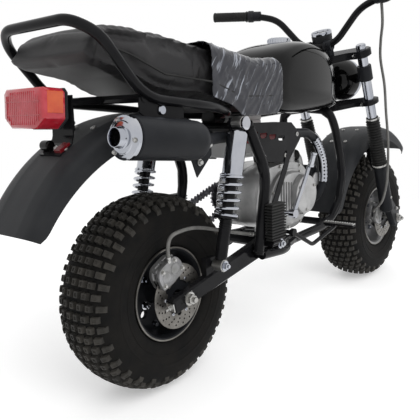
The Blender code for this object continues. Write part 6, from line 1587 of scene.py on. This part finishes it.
def make_side_stand():
    """Side stand's leg, welded sole, pivot eye and its return spring."""
    floor_up = vec(0, -sin(LEAN), cos(LEAN))
    pivot = at(498, 152, 256.1)
    foot = at(525.1, 290, 0)
    foot.z = ((STANCE.inverted() @ vec(0, 0, 0)) - vec(0, foot.y, 0)).dot(floor_up) / floor_up.z
    down = (foot - pivot).normalized()
    axis = (foot - pivot).cross(vec(-1, 0.22, 0.03)).normalized()
    leg_start, leg_end = foot + floor_up * 0.0056, pivot + down * 0.0242
    tube([leg_end, leg_end.lerp(leg_start, 0.5), leg_start], 0.011, 0.02, 24)
    turned(mm(22.2, 0.4, 24.6, 2.2, 24.6, 7.2, 23.5, 8), aimed(foot, floor_up), 40)
    stand_in("stand_leg_tube", "side_stand", smooth=40)
    for offset in (-1, 1):
        tab = aimed(pivot + axis * (0.0055 * offset), axis, down)
        ringed(mm(8.2, -2.2, 15.5, -2.2, 16.2, -1.5, 16.2, 1.5, 15.5, 2.2, 8.2, 2.2), tab, 32)
        block((0, 0.018, 0), (0.02, 0.02, 0.004), tab)
    stand_in("stand_pivot_eye", "side_stand")
    near = pivot + down * 0.03 - axis * 0.0175
    far = pivot + down * 0.115 - axis * 0.0175
    spring_wire(near, (far - near).normalized(), (far - near).length, 0.005, 0.0011, 26, 8, 14)
    for spot in (near, far):
        rod(spot, spot + axis * 0.01, 0.0018, 12)
    piece("stand_spring", "side_stand", PAINT, "spring_steel", smooth=50)


def make_covers():
    """Side plates with slots and screws, their stay, and the battery box's case, lid and straps."""
    for side in (-1, 1):
        name = "side_plate_" + SIDES[side]
        outline = flat(((0.184, 0.915), (0.302, 0.913), (0.378, 0.907), (0.424, 0.851), (0.414, 0.831),
            (0.364, 0.749), (0.24, 0.767)))
        plane = side * 0.1325
        prism(outline, 0.0028, side_view(plane))
        work = mesh_object("work")
        for along, up in ((0.226, 0.872), (0.262, 0.864), (0.298, 0.856), (0.334, 0.848)):
            middle = placed([(along, up)], plane)[0]
            ends = [(end * 0.0095 + 0.0065 * cos(angle) + 0.003 * end * sin(angle), 0.0065 * sin(angle))
                for end in (-1, 1) for angle in (end * pi / 2 - pi / 2 + pi * (step / 8 - 0.5) for step in range(9))]
            prism(ends, 0.02, Matrix.Translation(middle) @ side_view(0))
        pierce(work)
        stand_in(name + "_sheet", name, bevel=0.0007, smooth=30)
        out = vec(0, side, 0)
        for share in ((0.206, 0.895), (0.262, 0.784), (0.35, 0.778), (0.402, 0.858)):
            screw(placed([share], plane + side * 0.0014)[0], out, 0.013, 0.003)
        piece(name + "_screws", "frame", PAINT, "zinc_steel")
    section = mm(-1.5, -11, 1.5, -11, 1.5, 11, -1.5, 11)
    stay = placed([(0.362, 0.79), (0.35, 0.74)], -0.1358) + placed([(0.296, 0.585)],
        -0.1358) + placed([(0.262, 0.56)], -0.14)
    tube(stay, 0, 0.02, section=section)
    piece("plate_stay", "frame", PAINT, bevel=0.0005, smooth=30)
    centre = placed([(0.29, 0.858)])[0]
    block(centre + at(0, 0, -6), (0.1095, 0.1295, 0.1025))
    stand_in("battery_case", "battery_box", "white_plastic", bevel=0.003)
    block(centre + at(0, 0, 13), (0.1099, 0.1299, 0.034))
    block(centre + at(0, -90, 4), (0.104, 0.056, 0.04))
    stand_in("battery_band", "battery_box", bevel=0.0008)
    block(centre + at(0, 0, 51.2), (0.1095, 0.1295, 0.012))
    for across in (-0.035, 0.035):
        block(centre + vec(0, across, -0.003), (0.11, 0.016, 0.108))
    block(centre + at(0, -90, -28), (0.106, 0.054, 0.024))
    stand_in("battery_lid", "battery_box", "white_plastic", bevel=0.0015)


# Sizes and colours that a user would change
class MotorcycleSizes(bpy.types.PropertyGroup):
    """Counts and lengths of the fine detail."""
    knob_rows: IntProperty(name="Knob rows", description="Rows of tread blocks round each tyre", default=58, min=24,
        max=80)
    knob_length: FloatProperty(name="Knob length", description="Length of a tread block along the tyre",
        default=0.0172, min=0.008, max=0.024, unit="LENGTH", subtype="DISTANCE")
    chain_links: IntProperty(name="Chain links", description="Links in the drive chain", default=88, min=60, max=100)
    spring_turns: FloatProperty(name="Spring turns", description="Turns of each rear spring", default=5.0, min=3,
        max=9)
    cylinder_fins: IntProperty(name="Barrel fins", description="Cooling fins on the barrel", default=10, min=5,
        max=14)
    gaiter_ribs: IntProperty(name="Gaiter ribs", description="Ribs on each fork gaiter", default=17, min=8, max=24)
    footpeg_ribs: IntProperty(name="Footpeg ribs", description="Ribs on each footpeg rubber", default=13, min=4,
        max=16)
    seat_rib_pitch: FloatProperty(name="Seat rib pitch", description="Distance between the seat's ribs",
        default=0.0235, min=0.012, max=0.06, unit="LENGTH", subtype="DISTANCE")


class MotorcycleColours(bpy.types.PropertyGroup):
    """Main colours of the finishes."""
    gloss_black: FloatVectorProperty(name="Tank", description="Lacquer of the tank and lamp bowl", size=3,
        subtype="COLOR", default=(0.002, 0.002, 0.002), min=0, max=1)
    frame_paint: FloatVectorProperty(name="Frame", description="Paint of the frame tubes", size=3, subtype="COLOR",
        default=(0.006, 0.006, 0.007), min=0, max=1)
    seat_vinyl: FloatVectorProperty(name="Seat", description="Cover of the seat", size=3, subtype="COLOR",
        default=(0.016, 0.016, 0.017), min=0, max=1)
    red_lens: FloatVectorProperty(name="Tail lens", description="Lens of the tail lamp", size=3, subtype="COLOR",
        default=(0.42, 0.006, 0.018), min=0, max=1)
    floor: FloatVectorProperty(name="Floor", description="Plain studio floor", size=3, subtype="COLOR",
        default=(0.8, 0.8, 0.8), min=0, max=1)


def sizes():
    return bpy.context.scene.motorcycle_sizes


class MOTORCYCLE_OT_finishes(bpy.types.Operator):
    """Give every solid of the frame the finish of its material slot"""
    bl_idname = "motorcycle.finishes"
    bl_label = "Solid finishes"

    def execute(self, context):
        for entry in frame["record"]["subparts"]:
            made = frame["nodes"][entry["node"]]
            made.data.materials.clear()
            made.data.materials.append(finish(entry["material_slot"]))
        return {"FINISHED"}


class MOTORCYCLE_OT_front_wheel(bpy.types.Operator):
    """Build the front tyre, rim, disc and axle ends"""
    bl_idname = "motorcycle.front_wheel"
    bl_label = "Front wheel"

    def execute(self, context):
        make_tyre("front", FRONT_AXLE, sizes().knob_rows, sizes().knob_length)
        make_rim("front", FRONT_AXLE, "caliper_metal")
        make_disc("front", FRONT_AXLE)
        make_axle("front", FRONT_AXLE, 0.1525)
        return {"FINISHED"}


class MOTORCYCLE_OT_rear_wheel(bpy.types.Operator):
    """Build the rear tyre, rim, disc and axle ends"""
    bl_idname = "motorcycle.rear_wheel"
    bl_label = "Rear wheel"

    def execute(self, context):
        make_tyre("rear", REAR_AXLE, sizes().knob_rows, sizes().knob_length)
        # The rear rim takes a satin black finish, darker than the front rim's: painted shade of its shadowed inside.
        make_rim("rear", REAR_AXLE, "black_muffler")
        make_disc("rear", REAR_AXLE)
        make_axle("rear", REAR_AXLE, ARM_OUTER)
        return {"FINISHED"}


class MOTORCYCLE_OT_chain_drive(bpy.types.Operator):
    """Build the roller chain and its rear sprocket"""
    bl_idname = "motorcycle.chain_drive"
    bl_label = "Chain drive"

    def execute(self, context):
        make_chain(sizes().chain_links)
        make_sprocket()
        return {"FINISHED"}


class MOTORCYCLE_OT_frame_tubes(bpy.types.Operator):
    """Build the smooth frame tubes, welds, bolts and the swinging arm's fittings"""
    bl_idname = "motorcycle.frame_tubes"
    bl_label = "Frame"

    def execute(self, context):
        make_frame_tubes()
        make_frame_hardware()
        make_arm_fittings()
        return {"FINISHED"}


class MOTORCYCLE_OT_shock_absorbers(bpy.types.Operator):
    """Build the two rear shock absorbers with their coil springs"""
    bl_idname = "motorcycle.shock_absorbers"
    bl_label = "Shock absorbers"

    def execute(self, context):
        for side in (-1, 1):
            make_shock_pieces(side, sizes().spring_turns)
        return {"FINISHED"}


class MOTORCYCLE_OT_engine(bpy.types.Operator):
    """Build the engine's castings, covers, fins and carburettor"""
    bl_idname = "motorcycle.engine"
    bl_label = "Engine"

    def execute(self, context):
        make_engine_case()
        for side in (-1, 1):
            make_engine_side(side)
        make_cylinder_fins(sizes().cylinder_fins)
        make_carburettor_pieces()
        return {"FINISHED"}


class MOTORCYCLE_OT_exhaust(bpy.types.Operator):
    """Build the exhaust pipe, heat guard, can and end cap"""
    bl_idname = "motorcycle.exhaust"
    bl_label = "Exhaust"

    def execute(self, context):
        make_exhaust()
        return {"FINISHED"}


class MOTORCYCLE_OT_foot_controls(bpy.types.Operator):
    """Build the kick starter, pedals and footpegs"""
    bl_idname = "motorcycle.foot_controls"
    bl_label = "Foot controls"

    def execute(self, context):
        make_foot_controls()
        make_footpegs(sizes().footpeg_ribs)
        return {"FINISHED"}


class MOTORCYCLE_OT_bodywork(bpy.types.Operator):
    """Build the tank, side plates, battery box and mudguards"""
    bl_idname = "motorcycle.bodywork"
    bl_label = "Bodywork"

    def execute(self, context):
        make_tank()
        make_covers()
        make_guards()
        return {"FINISHED"}


class MOTORCYCLE_OT_seat(bpy.types.Operator):
    """Build the padded seat by cloth simulation and press its ribs and seam"""
    bl_idname = "motorcycle.seat"
    bl_label = "Seat"

    def execute(self, context):
        make_seat(sizes().seat_rib_pitch)
        make_seat_film()
        return {"FINISHED"}


class MOTORCYCLE_OT_tail(bpy.types.Operator):
    """Build the tail lamp, its bracket's bolts and the reflector"""
    bl_idname = "motorcycle.tail"
    bl_label = "Tail lamp"

    def execute(self, context):
        make_tail_lamp()
        return {"FINISHED"}


class MOTORCYCLE_OT_fork(bpy.types.Operator):
    """Build the fork legs, gaiters, clamps and bolts"""
    bl_idname = "motorcycle.fork"
    bl_label = "Fork"

    def execute(self, context):
        for side in (-1, 1):
            make_fork(side, sizes().gaiter_ribs)
        make_clamps()
        return {"FINISHED"}


class MOTORCYCLE_OT_handlebar(bpy.types.Operator):
    """Build the handlebar with its risers, grips and levers"""
    bl_idname = "motorcycle.handlebar"
    bl_label = "Handlebar"

    def execute(self, context):
        make_handlebar()
        return {"FINISHED"}


class MOTORCYCLE_OT_headlamp(bpy.types.Operator):
    """Build the headlamp and the round instrument"""
    bl_idname = "motorcycle.headlamp"
    bl_label = "Headlamp and instrument"

    def execute(self, context):
        make_headlamp()
        make_instrument()
        return {"FINISHED"}


class MOTORCYCLE_OT_brakes(bpy.types.Operator):
    """Build both calipers and their hoses"""
    bl_idname = "motorcycle.brakes"
    bl_label = "Brakes"

    def execute(self, context):
        make_caliper("rear", REAR_AXLE, 118)
        make_caliper("front", FRONT_AXLE, 160)
        make_hoses()
        return {"FINISHED"}


class MOTORCYCLE_OT_side_stand(bpy.types.Operator):
    """Build the side stand and its return spring"""
    bl_idname = "motorcycle.side_stand"
    bl_label = "Side stand"

    def execute(self, context):
        make_side_stand()
        return {"FINISHED"}


class MOTORCYCLE_OT_stage(bpy.types.Operator):
    """Build the floor, backdrop light, lamps and the camera"""
    bl_idname = "motorcycle.stage"
    bl_label = "Studio"

    def execute(self, context):
        make_stage(context.scene)
        make_camera(context.scene)
        return {"FINISHED"}


class MOTORCYCLE_PT_panel(bpy.types.Panel):
    """Lists the steps that build the motorcycle"""
    bl_idname = "MOTORCYCLE_PT_panel"
    bl_label = "Light motorcycle"
    bl_space_type = "VIEW_3D"
    bl_region_type = "UI"
    bl_category = "Motorcycle"

    def draw(self, context):
        for group in (context.scene.motorcycle_sizes, context.scene.motorcycle_colours):
            box = self.layout.box()
            for name in group.bl_rna.properties.keys():
                if name not in ("rna_type", "name"):
                    box.prop(group, name)
        for step in STEPS:
            self.layout.operator(step.bl_idname)


STEPS = (MOTORCYCLE_OT_finishes, MOTORCYCLE_OT_front_wheel, MOTORCYCLE_OT_rear_wheel, MOTORCYCLE_OT_chain_drive,
    MOTORCYCLE_OT_frame_tubes, MOTORCYCLE_OT_shock_absorbers, MOTORCYCLE_OT_engine, MOTORCYCLE_OT_exhaust,
    MOTORCYCLE_OT_foot_controls, MOTORCYCLE_OT_bodywork, MOTORCYCLE_OT_seat, MOTORCYCLE_OT_tail, MOTORCYCLE_OT_fork,
    MOTORCYCLE_OT_handlebar, MOTORCYCLE_OT_headlamp, MOTORCYCLE_OT_brakes, MOTORCYCLE_OT_side_stand,
    MOTORCYCLE_OT_stage)
CLASSES = (MotorcycleSizes, MotorcycleColours) + STEPS + (MOTORCYCLE_PT_panel,)


# Studio

def floor_sheet(colour):
    """Pale floor that keeps the machine's shadow near it and runs out to the white background."""
    made = bpy.data.materials.new("floor_sheet")
    made.use_nodes = True
    tree = made.node_tree
    shader = tree.nodes["Principled BSDF"]
    set_sockets(shader, Base_Color=(*colour, 1), Roughness=0.95, Specular_IOR_Level=0)
    lift = add_node(tree, "Emission", Strength=0.36)
    white = add_node(tree, "Emission", Strength=1)
    lifted = add_node(tree, "AddShader")
    place = add_node(tree, "NewGeometry")
    reach = add_node(tree, "VectorMath", "LENGTH")
    fade = add_node(tree, "MapRange", From_Min=1.1, From_Max=2.4)
    fade.interpolation_type = "SMOOTHSTEP"
    outer, shown = add_node(tree, "MixShader"), add_node(tree, "MixShader")
    link_all(tree, (shader, 0, lifted, 0), (lift, 0, lifted, 1), (place, "Position", reach, 0),
        (reach, "Value", fade, "Value"), (fade, "Result", outer, "Fac"), (lifted, 0, outer, 1), (white, 0, outer, 2),
        (shader, 0, shown, 1), (outer, 0, shown, 2), (shown, 0, tree.nodes["Material Output"], "Surface"))
    tree.links.new(any_ray(tree), shown.inputs["Fac"])
    return made


def any_ray(tree):
    """Output that is 1 for rays from the camera and for mirrored or passing ones."""
    path = add_node(tree, "LightPath")
    found = path.outputs["Is Camera Ray"]
    for name in ("Is Glossy Ray", "Is Transmission Ray"):
        largest = add_node(tree, "Math", "MAXIMUM")
        tree.links.new(found, largest.inputs[0])
        tree.links.new(path.outputs[name], largest.inputs[1])
        found = largest.outputs[0]
    return found


def make_stage(scene):
    """Pale floor, a white background for the camera, and soft lamps."""
    half = 30
    mesh = bpy.data.meshes.new("floor")
    mesh.from_pydata([(-half, -half, 0), (half, -half, 0), (half, half, 0), (-half, half, 0)], [], [(0, 1, 2, 3)])
    mesh.materials.append(floor_sheet(scene.motorcycle_colours.floor))
    new_object("floor", mesh)
    world = bpy.data.worlds.new("studio")
    world.use_nodes = True
    scene.world = world
    tree = world.node_tree
    light = tree.nodes["Background"]
    set_sockets(light, Color=(1, 1, 1, 1), Strength=0.55)
    white = add_node(tree, "Background", Color=(1, 1, 1, 1), Strength=1)
    mix = add_node(tree, "MixShader")
    tree.links.new(any_ray(tree), mix.inputs["Fac"])
    link_all(tree, (light, 0, mix, 1), (white, 0, mix, 2), (mix, 0, tree.nodes["World Output"], "Surface"))
    target = (Vector(CAD_BOX[0]) + Vector(CAD_BOX[1])) / 2
    for name, place, wide, energy in (("key", (-1.4, -2.4, 3.2), 2.4, 62), ("fill", (2.6, -1.6, 2.2), 2.6, 26),
            ("back", (0.6, 2.8, 2.6), 2.8, 30), ("top", (0, 0, 3.6), 2.4, 26)):
        data = bpy.data.lights.new(name, "AREA")
        data.shape = "SQUARE"
        data.size = wide
        data.energy = energy
        lamp = new_object(name, data)
        lamp.visible_glossy = False
        turn = (target - Vector(place)).to_track_quat("-Z", "Y").to_matrix().to_4x4()
        lamp.matrix_world = Matrix.Translation(place) @ turn
    scene.view_settings.view_transform = "Standard"


def make_camera(scene):
    """Camera at the photograph's angle, in the machine's own frame."""
    place = vec(-0.942, -1.003, 0.678)
    yaw, pitch, roll = radians(40.38), radians(-10.03), radians(-1.83)
    ahead = vec(cos(yaw) * cos(pitch), sin(yaw) * cos(pitch), sin(pitch))
    right = vec(sin(yaw), -cos(yaw), 0)
    up = right.cross(ahead)
    rolled = right * cos(roll) + up * sin(roll)
    upper = up * cos(roll) - right * sin(roll)
    turn = Matrix((rolled, upper, -ahead)).transposed().to_4x4()
    data = bpy.data.cameras.new("camera")
    data.sensor_width = 36
    data.lens = 48.8
    data.clip_start = 0.01
    made = new_object("camera", data)
    made.matrix_world = STANCE @ Matrix.Translation(place) @ turn
    scene.camera = made


def register():
    for made in CLASSES:
        bpy.utils.register_class(made)
    bpy.types.Scene.motorcycle_sizes = PointerProperty(type=MotorcycleSizes)
    bpy.types.Scene.motorcycle_colours = PointerProperty(type=MotorcycleColours)


def unregister():
    del bpy.types.Scene.motorcycle_colours
    del bpy.types.Scene.motorcycle_sizes
    for made in reversed(CLASSES):
        bpy.utils.unregister_class(made)


def main():
    register()
    for step in STEPS:
        group, name = step.bl_idname.split(".")
        getattr(getattr(bpy.ops, group), name)()


if __name__ == "__main__":
    main()
